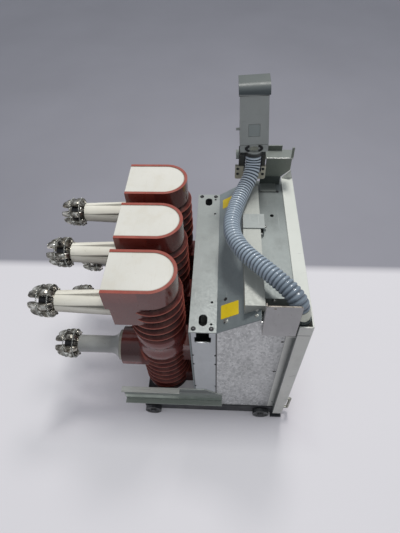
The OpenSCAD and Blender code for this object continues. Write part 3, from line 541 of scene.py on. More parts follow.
def zinc(dark, light, cell=300, contrast=0.2, rough=(0.36, 0.55), metal=0.5, dirt_and_shade=0.3,
         edge=0.5, edge_colour=(206, 208, 204), streak=None, seams=(), fade=None,
         lit=None, low_tone=None, gleam=None):
    """Zinc coated sheet: crystals, cloudy tone, dirt and brighter edges, worn (a painted highlight on the bracket).

    seams: dark lines as (axis, place, half width, strength), joints of sheets (on the rail, painted shade in
    its creases). fade: painted shade along an axis as (axis, unshaded place, shaded place, strength). gleam:
    a painted highlight in a streaky band as (axis, place, half width, colour). lit: colour of the faces that
    look up, painted light (on the shield, its rust darkened as painted shade). low_tone: (height, colour) of
    painted shade on those faces below a height.
    """
    p = Paint(metal=metal, bevel=1)
    corner = p.edges()
    grain = p.cells(cell, streak)
    tone = p.plus(p.times(grain, contrast), p.times(p.noise(8, 5, 0.6, streak), 1 - contrast))
    tone = p.plus(tone, p.times(p.minus(p.noise(cell * 3, 3), 0.5), 0.3))
    p.ground(p.ramp(tone, (0.2, dark), (0.8, light)))
    p.stain((13, 6, 0.65, (1, 1, 0.35)), 0.5, 0.76, dirt_and_shade, (86, 86, 82))
    p.stain((95, 5, 0.7), 0.66, 0.76, dirt_and_shade * 1.2, (64, 58, 50))
    p.stain((40, 3, 0.5, (0.25, 6, 3)), 0.66, 0.74, 0.25, edge_colour)
    # Brighter edges: worn, and on the shelf bracket a painted highlight
    p.tint(corner, edge, edge_colour)
    # Dark lines: joints of sheets, and on the rail painted shade in its creases
    for *seam, strength in seams:
        p.tint(p.line(*seam), strength, (34, 35, 37))
    # Painted shade that deepens along an axis
    if fade:
        *reach, strength = fade
        p.tint(p.between(*reach), strength, (52, 60, 60))
    # Painted highlight in a streaky band
    if gleam:
        *band, colour = gleam
        patch = p.span(p.noise(5, 3, 0.5, (1, 1, 0.2)), 0.48, 0.62)
        p.tint(p.times(p.line(*band), patch), 0.8, colour)
    # Colour laid on the faces that look up: painted light, and on the shield rust darkened as painted shade
    if lit:
        p.tint(p.facing_up(), 0.9, lit)
    # Painted shade on the faces that look up below a height
    if low_tone:
        height, colour = low_tone
        p.tint(p.times(p.facing_up(), p.between(Z, height, height - 1)), 0.8, colour)
    p.link(p.span(grain, 0.2, 0.8, *rough), "Roughness")
    p.bump(grain, 0.05, 0.3)
    p.bump(p.noise(14, 2), 0.07, 3)
    return p.mat


def enamel(dark, light, rough=0.42, wear=0.2, dirt_colour=(112, 110, 100), grain=420,
           grain_depth=0.1, edge=0.3, edge_colour=(170, 170, 166), seams=(), dark_band=None,
           gradient=None, bevel=1.0, top_tone=None):
    """Painted or moulded surface: cloudy tone, dirt, scuffs, paler edges (a painted highlight on the clamp) and a fine
    grain.

    seams: dark lines as (axis, place, half width, strength), a joint (under the plug's hood, a painted shadow).
    gradient: a painted shade that deepens along an axis, as (axis, start, end, strength at the start, strength
    at the end). dark_band: heights between which a painted shade turns it dark. top_tone: colour of a painted
    shade on the faces that look up.
    """
    p = Paint(rough=rough, bevel=bevel)
    corner = p.edges()
    p.ground(p.tones(p.noise(6, 4), dark, light))
    p.stain((20, 6, 0.65, (1, 1, 0.4)), 0.5, 0.8, wear, dirt_colour)
    p.stain((70, 4, 0.5, (3, 0.5, 1)), 0.66, 0.76, wear * 1.3, (84, 82, 78))
    # Painted shade on the faces that look up
    if top_tone:
        p.tint(p.facing_up(), 1.0, top_tone)
    # Paler edges, on the clamp a painted highlight
    p.tint(corner, edge, edge_colour)
    # Dark lines: a joint, and under the plug's hood a painted shadow
    for *seam, strength in seams:
        p.tint(p.line(*seam), strength, (30, 31, 33))
    # Painted shade that deepens along an axis
    if gradient:
        axis, start, end, weak, strong = gradient
        depth = p.maths("POWER", p.span(p.place_part(axis), start * MM, end * MM, weak, strong), 1.6)
        p.tint(p.times(p.between(axis, end - 1, end), depth), 1.0, (44, 56, 60))
    # Painted shade that turns it dark between two heights
    if dark_band:
        p.tint(p.between(Z, *dark_band), 0.94, (22, 25, 27))
    p.roughness(45, 3, rough - 0.07, rough + 0.1)
    p.bump(p.noise(grain, 2), grain_depth, 0.5)
    return p.mat


def plated(dark, light, metal=0.8, rust=0.4, edge_colour=(214, 214, 200), above=None):
    """Plated small metal: mottled tone, rust specks, worn edges; above is (height, paler colour)."""
    p = Paint(metal=metal, bevel=0.8)
    corner = p.edges()
    p.ground(p.tones(p.noise(34, 5, 0.6), dark, light))
    if above:
        height, colour = above
        p.tint(p.between(Z, height, height + 1), 0.9, colour)
    p.stain((80, 5), 0.66, 0.78, rust, (104, 80, 54))
    p.tint(corner, 0.5, edge_colour)
    p.roughness(120, 3, 0.26, 0.48)
    p.bump(p.noise(180, 3), 0.12, 0.5)
    return p.mat


def hose_plastic():
    """Corrugated plastic: painted highlights on the crests and painted shade in the grooves from the mesh's own
    values, and painted shade towards the gland.
    """
    p = Paint(rough=0.3)
    p.ground(p.tones(p.noise(10, 4), (143, 157, 170), (157, 170, 182)))
    groove = p.node("ShaderNodeAttribute", {}, "Fac", attribute_name="groove")
    crest = p.node("ShaderNodeAttribute", {}, "Fac", attribute_name="crest")
    # Painted highlights on the crests and painted shade in the grooves
    p.tint(crest, 0.8, (216, 226, 234))
    p.tint(groove, 0.94, (32, 42, 54))
    # Painted shade on the end of the hose towards the gland
    p.tint(p.span(p.place_part(X), -0.145, -0.190), 0.45, (48, 62, 76))
    p.stain((60, 5), 0.56, 0.76, 0.25, (96, 106, 116))
    p.roughness(80, 4, 0.22, 0.4)
    p.coat(0.5, 0.12)
    p.bump(p.noise(300, 2), 0.06, 0.3)
    return p.mat


def sticker_yellow():
    p = Paint(rough=0.38)
    p.ground(p.tones(p.noise(20, 4), (206, 178, 20), (220, 192, 34)))
    p.stain((90, 5, 0.65), 0.58, 0.74, 0.35, (150, 130, 60))
    p.roughness(60, 3, 0.3, 0.48)
    p.bump(p.noise(60, 2), 0.1, 0.4)
    return p.mat


def window_glass():
    p = Paint(rough=0.08)
    p.ground(p.tones(p.noise(40, 3), (150, 158, 160), (164, 172, 174)))
    p.coat(0.6, 0.03)
    p.link(p.span(p.noise(70, 4), 0.4, 0.7, 0.05, 0.18), "Roughness")
    return p.mat


# Edges of the sheets that show as dark seams, in millimetres
PLATE_Y = (low_of("side_plate_left", Y) / MM, high_of("side_plate_left", Y) / MM)
CHANNEL_Y = (low_of("channel_sides", Y) / MM, high_of("channel_sides", Y) / MM)
DECK_Z = high_of("deck_plate", Z) / MM

MATS = {
    "red_resin": red_resin(),
    "white_lid": white_lid(),
    "ivory_sleeve": ivory_sleeve(),
    "grey_sleeve": grey_sleeve(),
    "silvered_copper": silvered_copper(),
    # Side plates: dark joints at their edges, and painted shade that deepens towards the front frame's leg
    "side_zinc": zinc(
        (160, 161, 161), (222, 222, 221), cell=230, contrast=0.6, dirt_and_shade=0.26, streak=(1, 1, 0.55),
        fade=(Y, -228, -259, 0.3), seams=[(Y, PLATE_Y[1], 2.2, 0.8), (Y, PLATE_Y[0], 1.2, 0.4)]),
    "channel_zinc": zinc(
        (168, 171, 173), (196, 199, 201), cell=320, dirt_and_shade=0.2,
        seams=[(Y, CHANNEL_Y[0], 2.5, 0.85), (Y, CHANNEL_Y[1], 2.5, 0.8)]),
    "top_zinc": zinc((141, 146, 144), (163, 168, 166), contrast=0.25, metal=0.3, rough=(0.48, 0.64)),
    # Level top: painted shadow that deepens towards the plug's shelf
    "deck_zinc": zinc(
        (125, 131, 129), (152, 158, 156), cell=260, contrast=0.3, dirt_and_shade=0.45, metal=0.3,
        rough=(0.48, 0.64), fade=(X, 20, 120, 0.5)),
    "trunk_zinc": zinc((155, 158, 152), (178, 180, 174), metal=0.25, rough=(0.48, 0.62)),
    # Sloped cover: painted shade that deepens towards its near end
    "slope_zinc": zinc(
        (131, 140, 142), (157, 166, 168), dirt_and_shade=0.25, metal=0.35, rough=(0.42, 0.58),
        fade=(X, -110, -170, 0.4)),
    # Rails: painted light on the faces that look up, a painted highlight band low on the web, and painted shade under
    # the upper flange, at the lower flange and on its top
    "rail_zinc": zinc(
        (108, 117, 109), (148, 157, 148), cell=60, contrast=0.06, edge=0.9, dirt_and_shade=0.12, metal=0.15,
        rough=(0.22, 0.34), edge_colour=(232, 234, 226), streak=(3, 0.25, 1), fade=(Z, 96, 152, 0.62),
        lit=(238, 240, 230), low_tone=(120, (112, 120, 112)),
        seams=[(Z, 149, 9, 0.5), (Z, 88.5, 2, 0.5)], gleam=(Z, 104, 13, (226, 234, 220))),
    # Shelf bracket: painted shade below the shelf, painted light on the faces that look up, and a painted highlight on
    # its edges
    "bracket_zinc": zinc(
        (100, 106, 99), (126, 132, 124), contrast=0.15, edge=0.85, edge_colour=(214, 216, 204),
        fade=(Z, 563, 556, 0.7), lit=(126, 131, 127)),
    # Shield plate: brown rust on its cut edges, and the faces that look up darkened further as a painted shade
    "shield_plate": zinc(
        (158, 157, 157), (182, 180, 180), cell=80, metal=0.4, edge=0.75,
        edge_colour=(118, 102, 86), lit=(92, 84, 74)),
    # Grey paint: a dark joint line below the level top, and painted shade that deepens along the front frame's leg
    "grey_paint": enamel(
        (190, 190, 184), (206, 206, 199), wear=0.34, seams=[(Z, DECK_Z - 32, 1.2, 0.8)],
        gradient=(Y, -257, -275.5, 0.05, 0.9)),
    "cream_paint": enamel((200, 203, 195), (208, 210, 203), wear=0.14, edge_colour=(226, 226, 219)),
    # Plug clamp: painted shade over its part above the ears, and painted highlights on its edges
    "clamp_paint": enamel(
        (184, 179, 158), (208, 203, 184), wear=0.4, rough=0.4, edge=0.95, bevel=2.6,
        edge_colour=(238, 236, 222), dirt_colour=(116, 100, 76), dark_band=(596, 600)),
    # Plug: painted shade at its foot, a painted shadow line under the hood, painted shade down over the hood, and
    # painted shade on the faces that look up
    "plug_housing": enamel(
        (154, 158, 155), (166, 170, 167), rough=0.45, grain=300, grain_depth=0.25,
        dark_band=(645, 641), seams=[(Z, 790, 1.5, 0.8)], gradient=(Z, 818, 793, 0.78, 0.96),
        top_tone=(139, 141, 133)),
    "panel_plastic": enamel((66, 70, 74), (78, 82, 86), wear=0.15),
    "tag_plastic": enamel((140, 147, 145), (150, 157, 155), rough=0.4, wear=0.15),
    "black_steel": enamel((33, 34, 38), (46, 47, 52), rough=0.5, wear=0.25),
    "red_button": enamel((150, 34, 28), (164, 42, 34), rough=0.3, wear=0.1),
    "green_button": enamel((34, 104, 58), (42, 116, 66), rough=0.3, wear=0.1),
    # Cable gland: its dark body is a painted shade, and its paler ring above a height is partly a painted highlight
    "gland_metal": plated((52, 60, 62), (92, 100, 102), rust=0.15, metal=0.5,
                          above=(533, (206, 208, 194))),
    "plated_metal": plated((140, 140, 131), (178, 178, 167), rust=0.3),
    "dark_metal": plated((38, 38, 40), (70, 70, 72), metal=0.6, rust=0.2, edge_colour=(130, 130, 128)),
    "bright_metal": plated((150, 151, 148), (204, 205, 200), metal=0.9, rust=0.2),
    "wheel_steel": plated((50, 51, 54), (98, 99, 100), metal=0.6),
    "hose_plastic": hose_plastic(),
    "sticker_yellow": sticker_yellow(),
    "window_glass": window_glass(),
}
for name, mat in MATS.items():
    mat.name = name

# Nodes whose material is finer than the slot that the record gives them
LOOK = {
    "rear_wall": "slope_zinc", "channel_top": "top_zinc", "channel_sides": "channel_zinc",
    "side_plate_left": "side_zinc", "side_plate_right": "side_zinc", "base_plate": "deck_zinc",
    "sloped_cover": "slope_zinc", "deck_plate": "deck_zinc", "cable_trunk": "trunk_zinc",
    "trunk_strap": "top_zinc", "shutter_rails": "rail_zinc", "plug_shelf": "bracket_zinc",
    "plug_clamp": "clamp_paint", "hose_gland": "gland_metal",
}
slot_of = {s["node"]: s["material_slot"] for s in frame["record"]["subparts"]}
for name, obj in frame["nodes"].items():
    obj.data.materials.clear()
    obj.data.materials.append(MATS[LOOK.get(name, slot_of[name])])


# Camera, from the photograph's viewing angle

EYE = Vector((-0.6575, -0.1154, 1.2347))
YAW, PITCH, ROLL = (radians(a) for a in (-4.856, 50.815, -2.657))
# Focal length and height of the picture, in pixels
FOCAL_PX, FRAME_H = 398.96, 533
SENSOR = 36


def in_row_frame(right, depth, up):
    """A direction of somebody who looks at the left side, in the row frame."""
    return Vector((depth, -right, up))


def in_scene(name, data):
    """A new object in the scene."""
    obj = bpy.data.objects.new(name, data)
    bpy.context.scene.collection.objects.link(obj)
    return obj


def make_camera():
    forward = in_row_frame(sin(YAW) * cos(PITCH), cos(YAW) * cos(PITCH), -sin(PITCH))
    level = in_row_frame(cos(YAW), -sin(YAW), 0)
    upright = level.cross(forward)
    right = cos(ROLL) * level + sin(ROLL) * upright
    up = -sin(ROLL) * level + cos(ROLL) * upright
    data = bpy.data.cameras.new("camera")
    data.sensor_width = SENSOR
    data.lens = FOCAL_PX * SENSOR / FRAME_H
    cam = in_scene("camera", data)
    cam.matrix_world = Matrix([(*v, 0) for v in (right, up, -forward)] + [(*EYE, 1)]).transposed()
    bpy.context.scene.camera = cam


make_camera()


# Mesh helpers: every piece is made in the row frame, from sizes and places in millimetres

CORNER_STEPS = 5


def circle(middle, a, b, r, sides):
    """Points round a middle, in the plane of two directions."""
    return [middle + r * (a * cos(t) + b * sin(t)) for t in turns(sides)]


def turns(count):
    """Angles that divide a full turn evenly."""
    return [2 * pi * k / count for k in range(count)]


def side_vectors(axis):
    """Two directions across an axis."""
    axis = Vector(axis).normalized()
    a = axis.orthogonal().normalized()
    return a, axis.cross(a)


class Shape:
    """Vertices and faces of one piece."""

    def __init__(self):
        self.verts = []
        self.faces = []

    def rings(self, rings, closed=False):
        """A skin over rings that all have the same number of points, with end caps unless it is closed."""
        first, n = len(self.verts), len(rings[0])
        for ring in rings:
            self.verts += [Vector(v) * MM for v in ring]
        count = len(rings)
        for i in range(count if closed else count - 1):
            a, b = first + i * n, first + (i + 1) % count * n
            for k in range(n):
                m = (k + 1) % n
                self.faces.append((a + k, b + k, b + m, a + m))
        if not closed:
            self.faces.append(tuple(first + n - 1 - k for k in range(n)))
            self.faces.append(tuple(first + (count - 1) * n + k for k in range(n)))

    def lathe(self, profile, place, axis, sides=24, hollow=False):
        """A turned part: profile of (radius, height along the axis) pairs, closed on itself if hollow."""
        place, axis = Vector(place), Vector(axis).normalized()
        a, b = side_vectors(axis)
        rings = [circle(place + axis * h, a, b, max(r, 0.01), sides) for r, h in profile]
        self.rings(rings, closed=hollow)

    def plate(self, outline, thick, place, across, along, up, soft=0.4):
        """A flat outline of (across, along) pairs raised to a thickness, with softened upper edges."""
        place, across, along, up = Vector(place), Vector(across), Vector(along), Vector(up)
        mid = Vector((sum(p[0] for p in outline), sum(p[1] for p in outline))) / len(outline)
        rings = []
        for shrink, h in ((0, 0), (0, thick - soft), (0.3 * soft, thick - 0.3 * soft), (soft, thick)):
            ring = []
            for u, v in outline:
                away = Vector((u, v)) - mid
                away *= max(0.0, 1 - shrink / max(away.length, 0.01))
                ring.append(place + across * (mid[0] + away[0]) + along * (mid[1] + away[1]) + up * h)
            rings.append(ring)
        self.rings(rings)

    def tube(self, path, r, sides=6, closed=False):
        """A round bar along a path."""
        rings = []
        count = len(path)
        across = None
        for i, p in enumerate(path):
            before = path[(i - 1) % count] if closed else path[max(i - 1, 0)]
            after = path[(i + 1) % count] if closed else path[min(i + 1, count - 1)]
            d = (Vector(after) - Vector(before)).normalized()
            across = side_vectors(d)[0] if across is None else across - d * across.dot(d)
            across.normalize()
            rings.append(circle(Vector(p), across, d.cross(across), r, sides))
        self.rings(rings, closed=closed)

    def piece(self, name, look, slot, smooth=True):
        """The Blender object of the shape, which rides on the breaker."""
        mesh = bpy.data.meshes.new(name)
        mesh.from_pydata([tuple(v) for v in self.verts], [], self.faces)
        mesh.validate()
        mesh.update()
        for poly in mesh.polygons:
            poly.use_smooth = smooth and len(poly.vertices) == 4
        if smooth:
            mesh.set_sharp_from_angle(angle=radians(40))
        obj = in_scene(name, mesh)
        obj.data.materials.append(MATS[look])
        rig.ride(obj, BODY)
        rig.slot(obj, slot)
        return obj


def rounded(width, height, r):
    """Outline of a rectangle with rounded corners, about its middle."""
    out = []
    for cx, cy, start in ((1, 1, 0), (-1, 1, 90), (-1, -1, 180), (1, -1, 270)):
        for k in range(CORNER_STEPS + 1):
            t = radians(start + 90 * k / CORNER_STEPS)
            out.append((cx * (width / 2 - r) + r * cos(t), cy * (height / 2 - r) + r * sin(t)))
    return out


def button_screw(shape, place, axis, r=4.5, h=2.4):
    """Low domed screw head with a washer under it and a socket in it."""
    shape.lathe([(1.35 * r, 0), (1.35 * r, 0.5), (1.25 * r, 0.7), (r, 0.75), (r, 0.4 * h + 0.7),
                 (0.88 * r, 0.8 * h + 0.7), (0.62 * r, h + 0.7), (0.48 * r, h + 0.7),
                 (0.44 * r, 0.4 * h + 0.7), (0, 0.4 * h + 0.7)], place, axis)


def hex_bolt(shape, place, axis, r=5, h=4):
    """Hexagon bolt head on a washer."""
    shape.lathe([(1.45 * r, 0), (1.45 * r, 0.8), (1.35 * r, 1), (0.9 * r, 1)], place, axis)
    shape.lathe([(r, 0.9), (r, 0.7 * h + 1), (0.88 * r, h + 1), (0, h + 1)], place, axis, 6)


# The hose: a smooth curve through the route of its solid, with round corrugations

HOSE_ROUTE = [(201, -190.5, 629), (197, -190.5, 615), (189.5, -190, 602), (178, -187.5, 591),
              (162, -181, 580.5), (140, -170.5, 572.5), (107, -158.5, 569.5), (64, -146.5, 571),
              (17, -138, 574.5), (-28, -140, 578.5), (-67, -154, 582.5), (-100, -174.5, 586),
              (-130, -200.5, 588.5), (-156, -224.5, 588.5), (-178, -246.5, 585), (-193.5, -262, 577.5),
              (-202.9, -271.8, 565.4), (-206.4, -276.3, 551.4)]
HOSE_R, HOSE_SIDES = 20, 40
RIB_PITCH, RIB_DEPTH, RIB_STEPS = 9.0, 2.8, 14
# Shape of a rib: below 1 the crests are round and the grooves narrow
RIB_POWER = 0.9
# Height on a rib, from 0 to 1, at which the painted shade in the groove starts, and how much lower it is full
SHADE_BELOW, SHADE_SOFT = 0.78, 0.42
# Millimetres from the plug, then how dark the painted shade in the grooves is, and in the next table how bright the
# painted highlight on the crests is
GROOVE_SHADE = [(0, 1.0), (120, 1.0), (160, 0.75), (235, 0.38), (280, 0.5), (325, 0.8), (370, 0.82),
               (415, 0.62), (520, 0.55)]
CREST_HIGHLIGHT = [(0, 1.0), (70, 1.0), (130, 0.45), (190, 0.0), (520, 0.0)]


def smooth_path(points, step):
    """Points a step apart on a Catmull-Rom curve through the given points, and the curve's length."""
    pts = [Vector(p) for p in points]
    pts = [pts[0] * 2 - pts[1]] + pts + [pts[-1] * 2 - pts[-2]]
    dense = []
    for i in range(1, len(pts) - 2):
        p0, p1, p2, p3 = pts[i - 1:i + 3]
        for k in range(40):
            t = k / 40
            dense.append(0.5 * (2 * p1 + (p2 - p0) * t + (2 * p0 - 5 * p1 + 4 * p2 - p3) * t * t
                                + (3 * p1 - p0 - 3 * p2 + p3) * t ** 3))
    dense.append(pts[-2])
    lengths = [(b - a).length for a, b in zip(dense, dense[1:])]
    total = sum(lengths)
    count = round(total / step)
    out, walked, j = [dense[0]], 0.0, 0
    for k in range(1, count):
        goal = total * k / count
        while walked + lengths[j] < goal:
            walked += lengths[j]
            j += 1
        out.append(dense[j].lerp(dense[j + 1], (goal - walked) / lengths[j]))
    out.append(dense[-1])
    return out, total


def frames_along(path):
    """A pair of directions across the path at each point, turned as little as possible."""
    across = None
    for i, p in enumerate(path):
        d = (path[min(i + 1, len(path) - 1)] - path[max(i - 1, 0)]).normalized()
        across = Vector((1, 0, 0)).cross(d) if across is None else across - d * across.dot(d)
        across.normalize()
        yield p, across, d.cross(across)


def along_hose(table, mm):
    """A value from a table of places along the hose, straight between them."""
    for (a, low), (b, high) in zip(table, table[1:]):
        if mm <= b:
            return low + (high - low) * (mm - a) / (b - a)
    return table[-1][1]


def make_hose():
    """The corrugated hose, with the painted shade of its grooves and the painted highlights of its crests as values on
    its points.
    """
    path, total = smooth_path(HOSE_ROUTE, RIB_PITCH / RIB_STEPS)
    ribs = round(total / RIB_PITCH)
    shape, groove, crest = Shape(), [], []
    rings = []
    for i, (p, a, b) in enumerate(frames_along(path)):
        wave = abs(sin(pi * i / (len(path) - 1) * ribs)) ** RIB_POWER
        r = HOSE_R - RIB_DEPTH * (1 - wave)
        rings.append(circle(p, a, b, r, HOSE_SIDES))
        here = total * i / (len(path) - 1)
        # Painted shade in the groove, and a painted highlight on the crest
        dirt_and_shade = min(1.0, max(0.0, (SHADE_BELOW - wave) / SHADE_SOFT))
        groove += [dirt_and_shade * along_hose(GROOVE_SHADE, here)] * HOSE_SIDES
        crest += [wave ** 3 * along_hose(CREST_HIGHLIGHT, here)] * HOSE_SIDES
    shape.rings(rings)
    hose = shape.piece("control_hose", "hose_plastic", "hose_plastic")
    for name, values in (("groove", groove), ("crest", crest)):
        hose.data.attributes.new(name, "FLOAT", "POINT").data.foreach_set("value", values)
    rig.replaces(hose, "hose")
    return hose, [p * MM for p in path], total * MM


hose, hose_path, hose_length = make_hose()
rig.cord(hose, exit=hose_path[-1], length=round(hose_length, 3), diameter=2 * HOSE_R * MM, far_end="plug",
        stiffness="medium", lay="loose", path=hose_path[::10], with_pieces=["plug"])


# Contacts: rounded fingers round the pin, two coiled ring springs, a cage with pins, and a hub

# Finger: distance from the sleeve, inner radius, outer radius and half width
FINGER = [(2, 20.5, 26.5, 6.6), (4, 20.5, 29.5, 7.3), (8, 20.5, 33.2, 7.7), (12, 21, 35.9, 7.7),
          (16, 22.3, 38.2, 7.7), (20, 22.5, 39.3, 7.7), (24, 22.5, 39.3, 7.7), (27.5, 22.5, 38.4, 7.6),
          (30.5, 22.5, 36.6, 7.5), (32.4, 22.5, 34.2, 7.4), (34, 22.5, 33.4, 7.3), (37.4, 22.5, 33.4, 7.3),
          (39.2, 21.6, 34.4, 7.4), (41.5, 19.6, 35.6, 7.6), (44.5, 17.6, 35.7, 7.7), (50, 17.5, 34.2, 7.6),
          (55, 17.5, 32, 7.2), (58.5, 18.4, 29.4, 6.6), (60.8, 20.2, 27, 5.6), (62, 22, 25, 4)]
FINGER_COUNT, FINGER_POINTS = 6, 28
# How square a finger's section is: 1 is an ellipse, smaller is squarer
FINGER_SQUARE = 0.55
# Groove along the outside: depth, depth on the tip lobe, where the lobe starts, and half its width
GROOVE_DEPTH, LOBE_DEPTH, LOBE_FROM, GROOVE_HALF = 0.5, 2.4, 39, 2.2
# Radius and place of the two ring springs, and the radius, number of coils and wire of a spring
SPRING_RINGS = ((36.4, 36.2), (37.1, 11))
COIL_R, COIL_COUNT, COIL_STEPS, WIRE_R = 1.25, 56, 8, 0.9
# Pins between the fingers: radius at their foot, place and profile
PIN_FOOT, PIN_PLACE = 20, 6.5
PIN = [(2, 0), (2, 11), (2.9, 11.6), (3.4, 13), (2.9, 14.6), (1.6, 15.6), (0, 16)]
# Hub that carries the fingers, the hexagon on it, and the cage inside them
HUB = [(0, 0), (21, 0), (21, 12), (19.4, 13.8), (13, 14), (12.4, 13.4), (0, 13.4)]
HUB_NUT = [(8.5, 13.4), (8.5, 15.6), (7.6, 16.4), (4.6, 16.4), (4.3, 14), (0, 14)]
CAGE = [(19.2, 12), (21.7, 12), (21.7, 36), (21.2, 36.8), (19.8, 36.8), (19.2, 36)]
BACK = (0, 1, 0)


def finger_ring(y, r_in, r_out, half):
    """Section of a finger: a rounded block whose outer side has a groove along it."""
    mid, high = (r_in + r_out) / 2, (r_out - r_in) / 2
    depth = LOBE_DEPTH if y > LOBE_FROM and high > 3 else GROOVE_DEPTH
    ring = []
    for t in turns(FINGER_POINTS):
        c, s = cos(t), sin(t)
        u = half * copysign(abs(c) ** FINGER_SQUARE, c)
        v = high * copysign(abs(s) ** FINGER_SQUARE, s)
        if s > 0:
            v -= depth * exp(-(u / GROOVE_HALF) ** 2)
        ring.append((u, mid + v))
    return ring


def spring_path(radius, y):
    """Centre line of a coiled spring bent into a ring."""
    path = []
    for k in range(COIL_COUNT * COIL_STEPS):
        t, c = 2 * pi * k / (COIL_COUNT * COIL_STEPS), 2 * pi * k / COIL_STEPS
        r = radius + COIL_R * cos(c)
        path.append(Vector((r * cos(t), y + COIL_R * sin(c), r * sin(t))))
    return path


def make_contact(name, x, y0, z):
    """A contact that stands for one node: fingers with pins and hub, two springs, and the cage."""
    centre = Vector((x, y0, z))
    shape = Shape()
    for i in range(FINGER_COUNT):
        turn = 2 * pi * (i + 0.5) / FINGER_COUNT
        out = Vector((cos(turn), 0, sin(turn)))
        tangent = Vector((-sin(turn), 0, cos(turn)))
        shape.rings([[Vector((x, y0 + y, z)) + tangent * u + out * v
                      for u, v in finger_ring(y, *sizes)] for y, *sizes in FINGER])
        gap = 2 * pi * i / FINGER_COUNT
        away = Vector((cos(gap), 0, sin(gap)))
        shape.lathe(PIN, Vector((x, y0 + PIN_PLACE, z)) + away * PIN_FOOT, away, 12)
    shape.lathe(HUB, centre, BACK, 40)
    shape.lathe(HUB_NUT, centre, BACK, 6)
    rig.replaces(shape.piece(name + "_fingers", "silvered_copper", "silvered_copper"), name)
    springs = Shape()
    for radius, y in SPRING_RINGS:
        springs.tube([centre + p for p in spring_path(radius, y)], WIRE_R, 5, closed=True)
    springs.piece(name + "_springs", "bright_metal", "silvered_copper")
    # The cage is in dark metal: tarnish, and painted shade inside the fingers
    cage = Shape()
    cage.lathe(CAGE, centre, BACK, 40, hollow=True)
    cage.piece(name + "_cage", "dark_metal", "silvered_copper")


for level in ("upper", "lower"):
    for side in ("left", "middle", "right"):
        node = f"{level}_contact_{side}"
        make_contact(node, mid_of(node, X) / MM, low_of(node, Y) / MM, mid_of(node, Z) / MM)


# Places on the enclosure, in millimetres

SIDE_X = -low_of("side_plate_left", X) / MM
TOP_Z = high_of("channel_top", Z) / MM
SLOPE_BACK = CHANNEL_Y[0]
SLOPE_FRONT = low_of("sloped_cover", Y) / MM
SLOPE_TOP = high_of("sloped_cover", Z) / MM
SLOPE_RISE = (SLOPE_TOP - TOP_Z) / (SLOPE_BACK - SLOPE_FRONT)
SLOPE_UP = Vector((0, SLOPE_RISE, 1)).normalized()
SLOPE_ALONG = Vector((0, 1, -SLOPE_RISE)).normalized()
DECK_FRONT = low_of("deck_plate", Y) / MM
COVER_Y = low_of("front_cover", Y) / MM
COVER_FOOT = low_of("front_cover", Z) / MM
UP, FORWARD, ACROSS = (0, 0, 1), (0, -1, 0), (1, 0, 0)
TO_LEFT = (-1, 0, 0)


def on_slope(x, y):
    """The point of the sloped cover over a place."""
    return Vector((x, y, TOP_Z + (SLOPE_BACK - y) * SLOPE_RISE))


# Stickers: width, depth seen from above, place from the middle, and from the back of the slope
STICKER_W, STICKER_D, STICKER_X, STICKER_BACK = 36, 38, 177, 28


def make_stickers():
    """Plain yellow stickers at both ends of the sloped cover."""
    length = STICKER_D * sqrt(1 + SLOPE_RISE ** 2)
    for name, s in (("left", -1), ("right", 1)):
        shape = Shape()
        place = on_slope(s * STICKER_X, SLOPE_BACK - STICKER_BACK)
        shape.plate(rounded(STICKER_W, length, 2.5), 0.35, place, ACROSS, SLOPE_ALONG, SLOPE_UP, soft=0.15)
        shape.piece(f"yellow_sticker_{name}", "sticker_yellow", "galvanised_sheet", smooth=False)


# Screws in the top strip of the channel: from the side, and behind the slope
STRIP_IN, STRIP_BEHIND = 9, (50.7, 11.3)
# Grommet and bolt on the slope: place across, and from its back
GROMMET_X, GROMMET_BACK, SLOPE_BOLT_X, SLOPE_BOLT_BACK = -145, 19, -203, 20
GROMMET = [(4.6, 0), (4.6, 0.5), (4, 0.8), (3.4, 0.8), (3.2, 0.2), (0, 0.2)]
# Two screws beside the hose
SLOPE_SCREWS = ((-199, -191.5), (-213, -190))
# Two bolts by the strap: place from its left edge, and sheet; height over the level top
STRAP_BOLTS, STRAP_RISE = ((19, "trunk_strap"), (-5.2, "cable_trunk")), 9
# Bolt in the wall of the hose pocket: from the side, place, and below the level top
POCKET_IN, POCKET_Y, POCKET_DROP = 58, -231, 6.5
# Screws along the front of the level top, and in the ears of the plug's clamp
DECK_X, DECK_IN = (-120, 180), 14
EAR_X, EAR_Y, EAR_Z = 195, (-218, -153), (574, 590)


def make_sheet_fixings():
    """Screws and bolts of the channel, slope, trunk, level top and clamp."""
    dark, bright = Shape(), Shape()
    for s in (-1, 1):
        for behind in STRIP_BEHIND:
            button_screw(dark, (s * (SIDE_X - STRIP_IN), SLOPE_BACK + behind, TOP_Z), UP, 4.2)
    dark.lathe(GROMMET, on_slope(GROMMET_X, SLOPE_BACK - GROMMET_BACK), SLOPE_UP)
    hex_bolt(bright, on_slope(SLOPE_BOLT_X, SLOPE_BACK - SLOPE_BOLT_BACK), SLOPE_UP, 4)
    for x, y in SLOPE_SCREWS:
        button_screw(bright, on_slope(x, y), SLOPE_UP, 3.2, 2)
    strap_x = low_of("trunk_strap", X) / MM
    for dx, sheet in STRAP_BOLTS:
        hex_bolt(bright, (strap_x + dx, low_of(sheet, Y) / MM, DECK_Z + STRAP_RISE), FORWARD, 3.4, 5)
    hex_bolt(bright, (POCKET_IN - SIDE_X, POCKET_Y, DECK_Z - POCKET_DROP), TO_LEFT, 3.6, 3)
    for x in DECK_X:
        button_screw(dark, (x, DECK_FRONT + DECK_IN, DECK_Z), UP, 3.2, 2)
    for y in EAR_Y:
        for z in EAR_Z:
            button_screw(dark, (EAR_X, y, z), TO_LEFT, 2.9, 1.6)
    dark.piece("dark_screws", "dark_metal", "galvanised_sheet")
    bright.piece("bright_bolts", "bright_metal", "galvanised_sheet")


